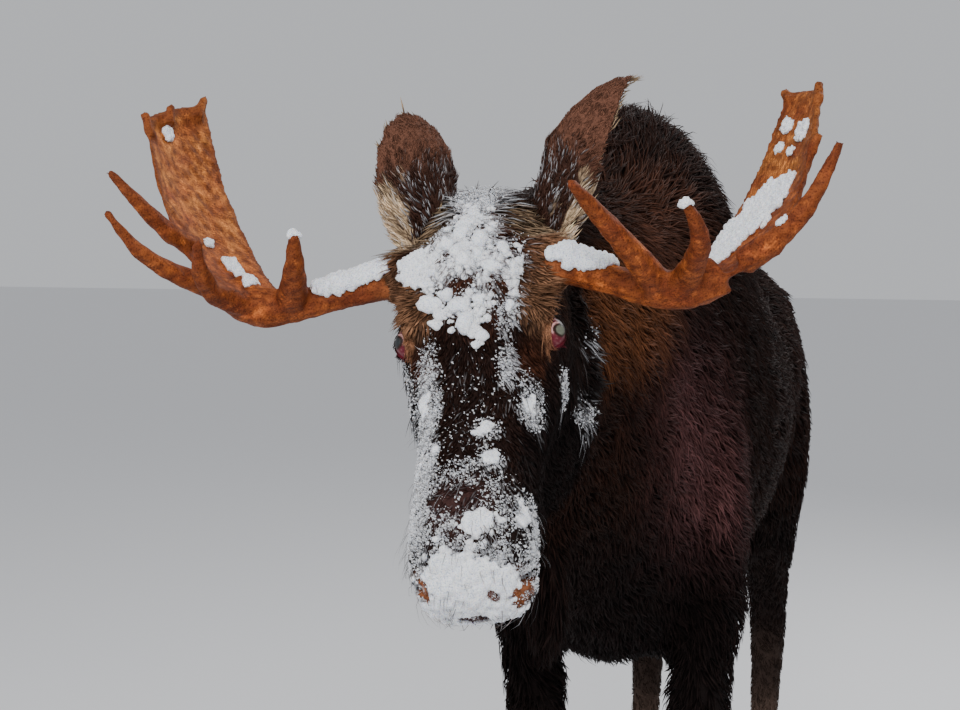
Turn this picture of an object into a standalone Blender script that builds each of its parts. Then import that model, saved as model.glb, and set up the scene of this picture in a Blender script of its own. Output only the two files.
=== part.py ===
"""A young bull moose, life size, standing still with its head lowered.

World frame in metres: +Z up, the moose faces -Y and its left side is +X. The flesh is shaped as
one body, filleted, then parted by thin saw cuts into its named lengths. Outlines run to the tips of
the winter coat. The head is laid out in its own frame: along the face from the poll to the muzzle,
across to the moose's left, and up out of the forehead.
"""
import math

import bmesh
import bpy
from mathutils import Matrix, Vector

# Gaps: touching solids stay this far apart, and a saw cut is two of them wide.
GAP = 0.0003
SAW = 2 * GAP

# Pose of the head: the poll is the top of the skull between the ears.
POLL = Vector((0.0, -0.80, 1.75))
HEAD_YAW = math.radians(8)
FACE_TILT = math.radians(43)
HEAD_ROLL = math.radians(5)

# Places along the body.
NECK_CUT_Y = -0.27
NECK_CUT_TILT = math.radians(10)
BARREL_CUT_Y = 0.30
RUMP_CUT_Y = 0.80
LEG_SPACING = 0.15
LEG_FREE_HEIGHT = 1.05

# The neck bends a little: the trunk and legs lie this far to the left of the poll.
TRUNK_SHIFT = 0.032
NECK_BEND = (-0.80, -0.05)

# How far each hoof is set forward (+) or back (-) of its square stance.
STEP = {
    "foreleg_left": 0.07,
    "foreleg_right": -0.05,
    "hindleg_left": -0.07,
    "hindleg_right": 0.08,
}

# Hooves: two claws each, cut level with the coronet.
FORE_HOOF_Y = -0.045
HIND_HOOF_Y = 1.125
CLAW_LENGTH = 0.150
CLAW_WIDTH = 0.056
CLEFT = 0.006
CORONET_HEIGHT = 0.066
CORONET_TILT = math.radians(18)

EYE_RADIUS = 0.0235
EYE_PLACE = (0.213, 0.091, -0.052)

# Sizes of the facets.
FLESH_VOXEL = 0.0105
FLESH_TRIANGLES = 3100
FACET_BIAS = 0.02
ANTLER_VOXEL = 0.0045
ANTLER_TRIANGLES = 600

COAT_BROWN = (0.055, 0.028, 0.016)
FACE_BLACK = (0.018, 0.013, 0.011)
LEG_GREY = (0.16, 0.125, 0.10)
HORN_BLACK = (0.02, 0.017, 0.015)
ANTLER_TAN = (0.33, 0.14, 0.05)
EYE_DARK = (0.03, 0.014, 0.008)


# ---------------------------------------------------------------- general tools

def clear_scene():
    for thing in list(bpy.data.objects):
        bpy.data.objects.remove(thing, do_unlink=True)


def make_material(name, colour, roughness):
    material = bpy.data.materials.new(name)
    material.use_nodes = True
    shader = material.node_tree.nodes["Principled BSDF"]
    shader.inputs["Base Color"].default_value = (*colour, 1.0)
    shader.inputs["Roughness"].default_value = roughness
    shader.inputs["Metallic"].default_value = 0.0
    return material


def mesh_object(name, vertices, faces):
    mesh = bpy.data.meshes.new(name)
    mesh.from_pydata([tuple(vertex) for vertex in vertices], [], faces)
    mesh.update()
    thing = bpy.data.objects.new(name, mesh)
    bpy.context.scene.collection.objects.link(thing)
    return thing


def remove_object(thing):
    bpy.data.objects.remove(thing, do_unlink=True)


def bake_modifiers(thing):
    """Replaces an object's mesh by what its modifiers make of it."""
    graph = bpy.context.evaluated_depsgraph_get()
    baked = bpy.data.meshes.new_from_object(thing.evaluated_get(graph))
    thing.modifiers.clear()
    thing.data = baked


def joined(name, things):
    """One object holding the meshes of several, which are removed."""
    merged = bmesh.new()
    for thing in things:
        merged.from_mesh(thing.data)
        remove_object(thing)
    mesh = bpy.data.meshes.new(name)
    merged.to_mesh(mesh)
    merged.free()
    whole = bpy.data.objects.new(name, mesh)
    bpy.context.scene.collection.objects.link(whole)
    return whole


def copy_of(thing, name):
    twin = bpy.data.objects.new(name, thing.data.copy())
    bpy.context.scene.collection.objects.link(twin)
    return twin


def between(before, start, end, after, t):
    """Catmull-Rom curve through start and end, for tuples of equal length."""
    values = []
    for p0, p1, p2, p3 in zip(before, start, end, after):
        linear = p2 - p0
        square = 2 * p0 - 5 * p1 + 4 * p2 - p3
        cube = 3 * p1 - p0 - 3 * p2 + p3
        values.append(p1 + 0.5 * t * (linear + t * (square + t * cube)))
    return values


def smoothed(stations, steps):
    """The stations with more read between them from a smooth curve."""
    last = len(stations) - 1
    dense = []
    for index in range(last):
        before = stations[max(index - 1, 0)]
        after = stations[min(index + 2, last)]
        for step in range(steps):
            dense.append(between(before, stations[index], stations[index + 1], after, step / steps))
    dense.append(list(stations[last]))
    return dense


def sway(along):
    """How far the middle of the neck or trunk lies to the left, at a place along the body."""
    front, back = NECK_BEND
    share = min(1.0, max(0.0, (along - front) / (back - front)))
    return TRUNK_SHIFT * share * share * (3 - 2 * share)


def bent_power(value, power):
    return math.copysign(abs(value) ** (2.0 / power), value)


def skin_rings(name, rings):
    """A closed solid through rings of equal count, with its faces pointing out."""
    count = len(rings[0])
    vertices = [point for ring in rings for point in ring]
    faces = [tuple(range(count))]
    for row in range(len(rings) - 1):
        for column in range(count):
            following = (column + 1) % count
            faces.append((
                row * count + column,
                row * count + following,
                (row + 1) * count + following,
                (row + 1) * count + column,
            ))
    final = (len(rings) - 1) * count
    faces.append(tuple(range(final, final + count)))
    thing = mesh_object(name, vertices, faces)
    face_outward(thing)
    return thing


def face_outward(thing):
    shape = bmesh.new()
    shape.from_mesh(thing.data)
    bmesh.ops.recalc_face_normals(shape, faces=shape.faces)
    if shape.calc_volume(signed=True) < 0:
        bmesh.ops.reverse_faces(shape, faces=shape.faces)
    shape.to_mesh(thing.data)
    shape.free()


def profile_loft(name, stations, place, offset=None, sides=32, steps=4):
    """A body along one axis. Each station: place along, top, bottom, half width, where the widest
    level lies between bottom (0) and top (1), and the roundness above and below it. offset(along)
    moves its middle sideways."""
    rings = []
    for along, top, bottom, half, widest, above, below in smoothed(stations, steps):
        middle = bottom + widest * (top - bottom)
        aside = offset(along) if offset else 0.0
        ring = []
        for side in range(sides):
            angle = 2 * math.pi * side / sides
            rise = math.sin(angle)
            power = above if rise >= 0 else below
            reach = top - middle if rise >= 0 else middle - bottom
            across = aside + half * bent_power(math.cos(angle), power)
            ring.append(place @ Vector((along, across, middle + reach * bent_power(rise, power))))
        rings.append(ring)
    return skin_rings(name, rings)


def leg_lean(leg, height):
    """How far a leg's step carries it forward at a height."""
    return STEP[leg] * max(0.0, 1 - height / LEG_FREE_HEIGHT)


def limb_loft(leg, stations, side, sides=20, steps=4):
    """An upright limb. Each station: height, forward place, sideways place, half width,
    half depth in front and half depth behind."""
    rings = []
    for height, forward, across, half, front, back in smoothed(stations, steps):
        lean = leg_lean(leg, height)
        ring = []
        for corner in range(sides):
            angle = 2 * math.pi * corner / sides
            depth = back if math.sin(angle) >= 0 else front
            ring.append(Vector((
                TRUNK_SHIFT + side * across + half * math.cos(angle),
                forward - lean + depth * math.sin(angle),
                height,
            )))
        rings.append(ring)
    return skin_rings(leg, rings)


def tube_rings(path, place, sides, flat=1.0, wide_axis=Vector((1, 0, 0))):
    """Rings across a path of (x, y, z, radius); flat squeezes them square to wide_axis."""
    points = [place @ Vector(stop[:3]) for stop in path]
    rings = []
    for index, centre in enumerate(points):
        ahead = points[min(index + 1, len(points) - 1)]
        behind = points[max(index - 1, 0)]
        tangent = (ahead - behind).normalized()
        wide = (wide_axis - tangent * wide_axis.dot(tangent)).normalized()
        narrow = tangent.cross(wide)
        radius = path[index][3]
        ring = []
        for corner in range(sides):
            angle = 2 * math.pi * corner / sides
            offset = wide * math.cos(angle) + narrow * flat * math.sin(angle)
            ring.append(centre + radius * offset)
        rings.append(ring)
    return rings


def tube(name, path, place=Matrix.Identity(4), sides=14, flat=1.0, wide_axis=Vector((1, 0, 0))):
    return skin_rings(name, tube_rings(smoothed(path, 4), place, sides, flat, wide_axis))


def bulge(name, centre, radii, place=Matrix.Identity(4)):
    """An ellipsoid of swelling muscle or lip, later blended into its neighbours."""
    shape = bmesh.new()
    bmesh.ops.create_uvsphere(shape, u_segments=20, v_segments=12, radius=1.0)
    stretch = Matrix.Diagonal((*radii, 1.0))
    bmesh.ops.transform(shape, matrix=place @ Matrix.Translation(centre) @ stretch, verts=shape.verts)
    mesh = bpy.data.meshes.new(name)
    shape.to_mesh(mesh)
    shape.free()
    thing = bpy.data.objects.new(name, mesh)
    bpy.context.scene.collection.objects.link(thing)
    face_outward(thing)
    return thing


def blend_solids(thing, voxel, smoothing):
    """Melts overlapping solids into one filleted skin."""
    remesh = thing.modifiers.new("melt", "REMESH")
    remesh.mode = "VOXEL"
    remesh.voxel_size = voxel
    remesh.adaptivity = 0.0
    relax = thing.modifiers.new("relax", "SMOOTH")
    relax.factor = 0.5
    relax.iterations = smoothing
    bake_modifiers(thing)


def thin_out(thing, triangles, spare=None):
    """Merges facets down to a triangle count, keeping more where spare(point) is near 0."""
    total = sum(len(face.vertices) - 2 for face in thing.data.polygons)
    modifier = thing.modifiers.new("facets", "DECIMATE")
    modifier.ratio = triangles / total
    modifier.use_collapse_triangulate = True
    if spare:
        group = thing.vertex_groups.new(name="facets")
        for vertex in thing.data.vertices:
            group.add([vertex.index], spare(vertex.co), "REPLACE")
        modifier.vertex_group = group.name
        modifier.vertex_group_factor = FACET_BIAS
    bake_modifiers(thing)
    thing.vertex_groups.clear()


def cut_with(thing, cutter, keep_cutter=False):
    modifier = thing.modifiers.new("cut", "BOOLEAN")
    modifier.operation = "DIFFERENCE"
    modifier.solver = "EXACT"
    modifier.object = cutter
    bake_modifiers(thing)
    if not keep_cutter:
        remove_object(cutter)


def swollen(thing, name, amount):
    """A copy grown outward all over, for trimming what grows from it."""
    twin = copy_of(thing, name)
    shape = bmesh.new()
    shape.from_mesh(twin.data)
    shape.normal_update()
    moves = [vertex.normal * amount for vertex in shape.verts]
    for vertex, move in zip(shape.verts, moves):
        vertex.co += move
    shape.to_mesh(twin.data)
    shape.free()
    return twin


def box(name, centre, axes, halves):
    """A block with its three unit axes and half lengths."""
    corners = []
    for i in (-1, 1):
        for j in (-1, 1):
            for k in (-1, 1):
                offset = axes[0] * (i * halves[0]) + axes[1] * (j * halves[1]) + axes[2] * (k * halves[2])
                corners.append(centre + offset)
    faces = [(0, 1, 3, 2), (4, 6, 7, 5), (0, 4, 5, 1), (2, 3, 7, 6), (0, 2, 6, 4), (1, 5, 7, 3)]
    thing = mesh_object(name, corners, faces)
    face_outward(thing)
    return thing


def saw(thing, centre, normal, along, half_along, half_across):
    """One thin cut across a solid, in the plane square to normal."""
    normal = Vector(normal).normalized()
    along = (Vector(along) - normal * normal.dot(Vector(along))).normalized()
    across = normal.cross(along)
    blade = box("blade", Vector(centre), (normal, along, across), (SAW / 2, half_along, half_across))
    cut_with(thing, blade)


def loose_parts(thing):
    """The separate bodies of a mesh, each as its own object."""
    shape = bmesh.new()
    shape.from_mesh(thing.data)
    shape.verts.ensure_lookup_table()
    seen = set()
    parts = []
    for start in shape.verts:
        if start.index in seen:
            continue
        seen.add(start.index)
        group = [start]
        for vertex in group:
            for edge in vertex.link_edges:
                other = edge.other_vert(vertex)
                if other.index not in seen:
                    seen.add(other.index)
                    group.append(other)
        members = sorted(vertex.index for vertex in group)
        renumber = {old: new for new, old in enumerate(members)}
        faces = []
        for face in shape.faces:
            if face.verts[0].index in renumber:
                faces.append([renumber[vertex.index] for vertex in face.verts])
        parts.append(mesh_object("part", [shape.verts[index].co for index in members], faces))
    shape.free()
    remove_object(thing)
    return parts


def name_parts(thing, seeds):
    """Gives each separate body the name of the seed point nearest to it."""
    parts = loose_parts(thing)
    named = {}
    for name, seed in seeds.items():
        seed = Vector(seed)
        nearest = min(parts, key=lambda part: min((v.co - seed).length for v in part.data.vertices))
        nearest.name = name
        named[name] = nearest
    for part in parts:
        if part not in named.values():
            remove_object(part)
    return named


# ---------------------------------------------------------------- head frame

def head_matrix():
    """Columns: along the face, across to the left, up out of the forehead."""
    facing = Vector((math.sin(HEAD_YAW), -math.cos(HEAD_YAW), 0.0))
    up = Vector((0.0, 0.0, 1.0))
    left = Vector((math.cos(HEAD_YAW), math.sin(HEAD_YAW), 0.0))
    along = facing * math.sin(FACE_TILT) - up * math.cos(FACE_TILT)
    out = facing * math.cos(FACE_TILT) + up * math.sin(FACE_TILT)
    roll = Matrix.Rotation(-HEAD_ROLL, 3, facing)
    if (roll @ left).z < 0:
        roll = Matrix.Rotation(HEAD_ROLL, 3, facing)
    matrix = Matrix((roll @ along, roll @ left, roll @ out)).transposed().to_4x4()
    matrix.translation = POLL
    return matrix


HEAD = head_matrix()
BODY = Matrix(((0, 1, 0, 0), (1, 0, 0, 0), (0, 0, 1, 0), (0, 0, 0, 1)))


def on_head(along, across, up):
    return HEAD @ Vector((along, across, up))


# ---------------------------------------------------------------- flesh

TRUNK_STATIONS = [
    # along y, top, bottom, half width, widest level, roundness above, below
    (-0.88, 1.690, 1.50, 0.060, 0.50, 2.0, 2.0),
    (-0.82, 1.740, 1.41, 0.105, 0.50, 2.0, 2.0),
    (-0.72, 1.758, 1.31, 0.140, 0.50, 2.0, 2.0),
    (-0.58, 1.768, 1.215, 0.168, 0.50, 2.0, 2.0),
    (-0.42, 1.792, 1.115, 0.192, 0.48, 2.0, 2.0),
    (-0.25, 1.850, 0.985, 0.212, 0.46, 2.0, 2.0),
    (-0.08, 1.920, 0.885, 0.238, 0.45, 2.0, 2.1),
    (0.08, 1.950, 0.865, 0.260, 0.45, 2.05, 2.2),
    (0.24, 1.930, 0.895, 0.273, 0.45, 1.80, 2.3),
    (0.44, 1.845, 0.925, 0.286, 0.45, 1.58, 2.3),
    (0.64, 1.745, 0.955, 0.284, 0.47, 1.58, 2.3),
    (0.84, 1.680, 1.005, 0.269, 0.50, 1.72, 2.2),
    (1.02, 1.655, 1.065, 0.253, 0.52, 1.95, 2.1),
    (1.18, 1.620, 1.115, 0.222, 0.52, 2.1, 2.0),
    (1.30, 1.555, 1.180, 0.175, 0.50, 2.0, 2.0),
    (1.38, 1.460, 1.270, 0.090, 0.50, 2.0, 2.0),
]

FORELEG_STATIONS = [
    # height, forward place, sideways place, half width, half depth in front, behind
    (1.55, 0.00, 0.120, 0.080, 0.13, 0.15),
    (1.36, -0.02, 0.158, 0.096, 0.16, 0.17),
    (1.16, -0.01, 0.172, 0.098, 0.15, 0.16),
    (1.02, 0.03, 0.168, 0.086, 0.120, 0.130),
    (0.90, 0.035, 0.164, 0.069, 0.084, 0.092),
    (0.76, 0.025, 0.158, 0.058, 0.066, 0.067),
    (0.65, 0.010, 0.155, 0.053, 0.058, 0.055),
    (0.57, 0.000, 0.153, 0.054, 0.060, 0.050),
    (0.49, 0.006, 0.151, 0.043, 0.044, 0.042),
    (0.36, 0.012, LEG_SPACING, 0.036, 0.036, 0.038),
    (0.25, 0.014, LEG_SPACING, 0.038, 0.038, 0.042),
    (0.18, 0.008, LEG_SPACING, 0.046, 0.046, 0.052),
    (0.12, -0.012, LEG_SPACING, 0.046, 0.046, 0.050),
    (0.06, -0.032, LEG_SPACING, 0.053, 0.058, 0.055),
    (0.02, -0.040, LEG_SPACING, 0.055, 0.060, 0.055),
]

HINDLEG_STATIONS = [
    (1.54, 1.06, 0.110, 0.100, 0.17, 0.20),
    (1.38, 1.05, 0.150, 0.108, 0.20, 0.24),
    (1.22, 1.04, 0.168, 0.108, 0.20, 0.22),
    (1.07, 1.04, 0.172, 0.098, 0.17, 0.18),
    (0.94, 1.10, 0.166, 0.077, 0.122, 0.125),
    (0.82, 1.175, 0.160, 0.060, 0.088, 0.090),
    (0.72, 1.24, 0.156, 0.050, 0.068, 0.076),
    (0.65, 1.275, 0.154, 0.048, 0.062, 0.072),
    (0.57, 1.270, 0.152, 0.044, 0.050, 0.056),
    (0.45, 1.245, LEG_SPACING, 0.038, 0.042, 0.043),
    (0.33, 1.220, LEG_SPACING, 0.036, 0.038, 0.040),
    (0.25, 1.200, LEG_SPACING, 0.038, 0.040, 0.043),
    (0.18, 1.182, LEG_SPACING, 0.045, 0.046, 0.050),
    (0.12, 1.160, LEG_SPACING, 0.045, 0.046, 0.048),
    (0.06, 1.137, LEG_SPACING, 0.052, 0.057, 0.054),
    (0.02, 1.130, LEG_SPACING, 0.054, 0.059, 0.054),
]

HEAD_STATIONS = [
    # along the face, top, bottom, half width, widest level, roundness above, below
    (-0.060, -0.050, -0.170, 0.050, 0.5, 2.0, 2.0),
    (-0.020, -0.005, -0.200, 0.085, 0.55, 2.0, 2.0),
    (0.040, 0.018, -0.245, 0.102, 0.60, 2.1, 2.0),
    (0.100, 0.024, -0.275, 0.110, 0.62, 2.3, 2.0),
    (0.160, 0.014, -0.285, 0.114, 0.62, 2.5, 2.0),
    (0.215, -0.004, -0.278, 0.113, 0.60, 2.5, 2.0),
    (0.270, -0.020, -0.255, 0.101, 0.58, 2.4, 2.0),
    (0.325, -0.025, -0.220, 0.088, 0.55, 2.4, 2.1),
    (0.380, -0.016, -0.190, 0.081, 0.52, 2.5, 2.2),
    (0.435, -0.001, -0.170, 0.078, 0.50, 2.6, 2.3),
    (0.490, 0.006, -0.158, 0.079, 0.50, 2.7, 2.4),
    (0.535, 0.000, -0.152, 0.079, 0.50, 2.7, 2.5),
    (0.570, -0.018, -0.146, 0.074, 0.48, 2.6, 2.5),
    (0.592, -0.038, -0.136, 0.063, 0.46, 2.4, 2.3),
    (0.604, -0.062, -0.118, 0.038, 0.45, 2.0, 2.0),
]

TAIL_PATH = [
    (TRUNK_SHIFT, 1.33, 1.510, 0.034),
    (TRUNK_SHIFT, 1.40, 1.490, 0.033),
    (TRUNK_SHIFT, 1.45, 1.440, 0.030),
    (TRUNK_SHIFT, 1.465, 1.385, 0.022),
    (TRUNK_SHIFT, 1.465, 1.345, 0.009),
]

BELL_PATH = [
    (0.020, -0.535, 1.34, 0.062),
    (0.026, -0.545, 1.25, 0.056),
    (0.032, -0.555, 1.17, 0.052),
    (0.035, -0.555, 1.10, 0.044),
    (0.036, -0.550, 1.05, 0.026),
    (0.036, -0.548, 1.035, 0.010),
]


def leg_sides():
    for name, stations in (("foreleg", FORELEG_STATIONS), ("hindleg", HINDLEG_STATIONS)):
        for hand, side in (("left", 1), ("right", -1)):
            yield f"{name}_{hand}", stations, side


def face_bulges():
    """Swellings of the head, mirrored on both sides: (along, across, up) and half sizes."""
    paired = [
        ((0.185, 0.083, -0.012), (0.045, 0.026, 0.020)),
        ((0.150, 0.092, -0.165), (0.085, 0.030, 0.085)),
        ((0.270, 0.080, -0.100), (0.075, 0.022, 0.026)),
        ((0.548, 0.052, -0.045), (0.040, 0.026, 0.030)),
        ((0.555, 0.044, -0.112), (0.042, 0.032, 0.034)),
        ((0.115, 0.075, -0.008), (0.035, 0.035, 0.028)),
    ]
    for centre, radii in paired:
        for side in (1, -1):
            yield (centre[0], side * centre[1], centre[2]), radii
    yield (0.120, 0.0, 0.018), (0.070, 0.060, 0.022)
    yield (0.500, 0.0, -0.158), (0.060, 0.040, 0.026)


def flesh_spare(point):
    """How freely facets merge: little on the head, more towards the rump."""
    local = HEAD.inverted() @ point
    on_face = -0.08 < local.x < 0.70 and abs(local.y) < 0.16 and -0.33 < local.z < 0.08
    return 0.5 if on_face else 1.0


def make_flesh():
    solids = [profile_loft("trunk", TRUNK_STATIONS, BODY, sway)]
    solids.append(profile_loft("skull", HEAD_STATIONS, HEAD))
    for name, stations, side in leg_sides():
        solids.append(limb_loft(name, stations, side))
    solids.append(tube("tail", TAIL_PATH, flat=0.75))
    solids.append(tube("bell", BELL_PATH, flat=0.8))
    for centre, radii in face_bulges():
        solids.append(bulge("bulge", centre, radii, HEAD))
    flesh = joined("flesh", solids)
    blend_solids(flesh, FLESH_VOXEL, 5)
    thin_out(flesh, FLESH_TRIANGLES, flesh_spare)
    return flesh


# ---------------------------------------------------------------- hooves

def hoof_centre(leg, side):
    square = FORE_HOOF_Y if leg.startswith("fore") else HIND_HOOF_Y
    return Vector((TRUNK_SHIFT + side * LEG_SPACING, square - STEP[leg], 0.0))


def coronet_axes():
    """Normal of the coronet plane, which is higher at the toe, then its other two axes."""
    normal = Vector((0.0, math.sin(CORONET_TILT), math.cos(CORONET_TILT)))
    across = Vector((1.0, 0.0, 0.0))
    return normal, across, normal.cross(across)


def claw_outline(scale, shift, centre, side, height):
    """One level of a claw: flat inside at the cleft, a pointed curve outside."""
    ring = []
    count = 7
    for index in range(count + 1):
        share = index / count
        along = (share - 0.5) * CLAW_LENGTH * scale
        bow = math.sin(math.pi * (0.06 + 0.90 * share)) ** 0.55
        forward_taper = 0.72 + 0.28 * min(1.0, share / 0.45)
        across = CLEFT / 2 + CLAW_WIDTH * scale * bow * forward_taper
        ring.append(Vector((centre.x + side * across, centre.y + along + shift, height)))
    for index in (count, 0):
        along = (index / count - 0.5) * CLAW_LENGTH * scale
        ring.append(Vector((centre.x + side * CLEFT / 2, centre.y + along + shift, height)))
    return ring


def make_claw(name, centre, side):
    """A claw runs from its flat sole up past the coronet, where it is cut off."""
    levels = ((0.0, 1.0, 0.0), (0.03, 0.93, 0.005), (0.06, 0.84, 0.012), (0.10, 0.74, 0.020))
    rings = [claw_outline(scale, shift, centre, side, height) for height, scale, shift in levels]
    claw = skin_rings(name, rings)
    normal, across, forward = coronet_axes()
    middle = Vector((centre.x, centre.y, CORONET_HEIGHT)) + normal * 0.2
    cut_with(claw, box("above", middle, (normal, across, forward), (0.2, 0.3, 0.3)))
    return claw


def trim_foot(flesh, centre):
    """Takes the leg off above the coronet, a gap clear of the claws."""
    normal, across, forward = coronet_axes()
    middle = Vector((centre.x, centre.y, CORONET_HEIGHT)) + normal * (GAP - 0.1)
    cut_with(flesh, box("below", middle, (normal, across, forward), (0.1, 0.11, 0.2)))


def make_dewclaw(name, centre, side, trimmer):
    path = [
        (centre.x + side * 0.022, centre.y + 0.060, 0.165, 0.012),
        (centre.x + side * 0.026, centre.y + 0.085, 0.145, 0.015),
        (centre.x + side * 0.028, centre.y + 0.100, 0.115, 0.012),
        (centre.x + side * 0.028, centre.y + 0.104, 0.098, 0.005),
    ]
    claw = skin_rings(name, tube_rings(path, Matrix.Identity(4), 7, 0.8))
    cut_with(claw, trimmer, keep_cutter=True)
    return claw


def make_hooves(flesh):
    for leg, _stations, side in leg_sides():
        trim_foot(flesh, hoof_centre(leg, side))
    trimmer = swollen(flesh, "leg_trimmer", GAP * 1.5)
    nodes = {}
    for leg, _stations, side in leg_sides():
        centre = hoof_centre(leg, side)
        for place, hand in (("outer", side), ("inner", -side)):
            claw = f"hoof_{leg}_{place}"
            nodes[claw] = make_claw(claw, centre, hand)
            dewclaw = f"dewclaw_{leg}_{place}"
            nodes[dewclaw] = make_dewclaw(dewclaw, centre, hand, trimmer)
    remove_object(trimmer)
    return nodes


# ---------------------------------------------------------------- ears and eyes

EAR_STATIONS = [
    # share of the length, half width, half angle of the wrap in degrees, thickness
    (0.00, 0.026, 150, 0.020),
    (0.14, 0.032, 140, 0.018),
    (0.30, 0.047, 112, 0.015),
    (0.50, 0.060, 88, 0.013),
    (0.70, 0.057, 70, 0.011),
    (0.86, 0.041, 56, 0.009),
    (0.96, 0.021, 46, 0.007),
    (1.00, 0.006, 40, 0.005),
]


def ear_rings(base, tip, opening, bend):
    """Crescents across the ear, from its root to its tip; bend bows it towards its back."""
    axis = (tip - base).normalized()
    length = (tip - base).length
    opening = (opening - axis * opening.dot(axis)).normalized()
    across = axis.cross(opening)
    rings = []
    arc_points = 6
    for share, half, wrap, thickness in EAR_STATIONS:
        limit = math.radians(wrap)
        outer = half / math.sin(min(limit, math.pi / 2))
        inner = outer - thickness
        centre = base + axis * (length * share) + opening * (bend * math.sin(math.pi * share))
        centre = centre + opening * (outer * 0.5 * math.cos(min(limit, math.pi / 2)))
        ring = []
        for radius, order in ((outer, 1), (inner, -1)):
            for index in range(arc_points + 1):
                angle = order * limit * (2 * index / arc_points - 1)
                ring.append(centre + radius * (across * math.sin(angle) - opening * math.cos(angle)))
        rings.append(ring)
    return rings


def make_ears(trimmer):
    """The ears stand up and turn their openings out and back."""
    places = {
        "ear_left": ((0.035, 0.088, -0.085), Vector((0.188, -0.672, 1.915)), Vector((0.80, 0.60, 0.05))),
        "ear_right": ((0.035, -0.099, -0.085), Vector((-0.132, -0.722, 1.866)), Vector((-0.62, 0.78, 0.1))),
    }
    nodes = {}
    for name, (root, tip, opening) in places.items():
        ear = skin_rings(name, ear_rings(on_head(*root), tip, opening, -0.012))
        cut_with(ear, trimmer, keep_cutter=True)
        nodes.update(name_parts(ear, {name: tip}))
    return nodes


def make_eye(name, side, radius):
    along, across, up = EYE_PLACE
    shape = bmesh.new()
    bmesh.ops.create_icosphere(shape, subdivisions=2, radius=radius)
    bmesh.ops.transform(shape, matrix=Matrix.Translation(on_head(along, side * across, up)), verts=shape.verts)
    mesh = bpy.data.meshes.new(name)
    shape.to_mesh(mesh)
    shape.free()
    eye = bpy.data.objects.new(name, mesh)
    bpy.context.scene.collection.objects.link(eye)
    return eye


def make_eyes(flesh):
    """Each ball sits in a socket of the head that clears it all round."""
    nodes = {}
    for name, side in (("eye_left", 1), ("eye_right", -1)):
        cut_with(flesh, make_eye("socket", side, EYE_RADIUS + GAP))
        nodes[name] = make_eye(name, side, EYE_RADIUS)
    return nodes


# ---------------------------------------------------------------- antlers

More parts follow.
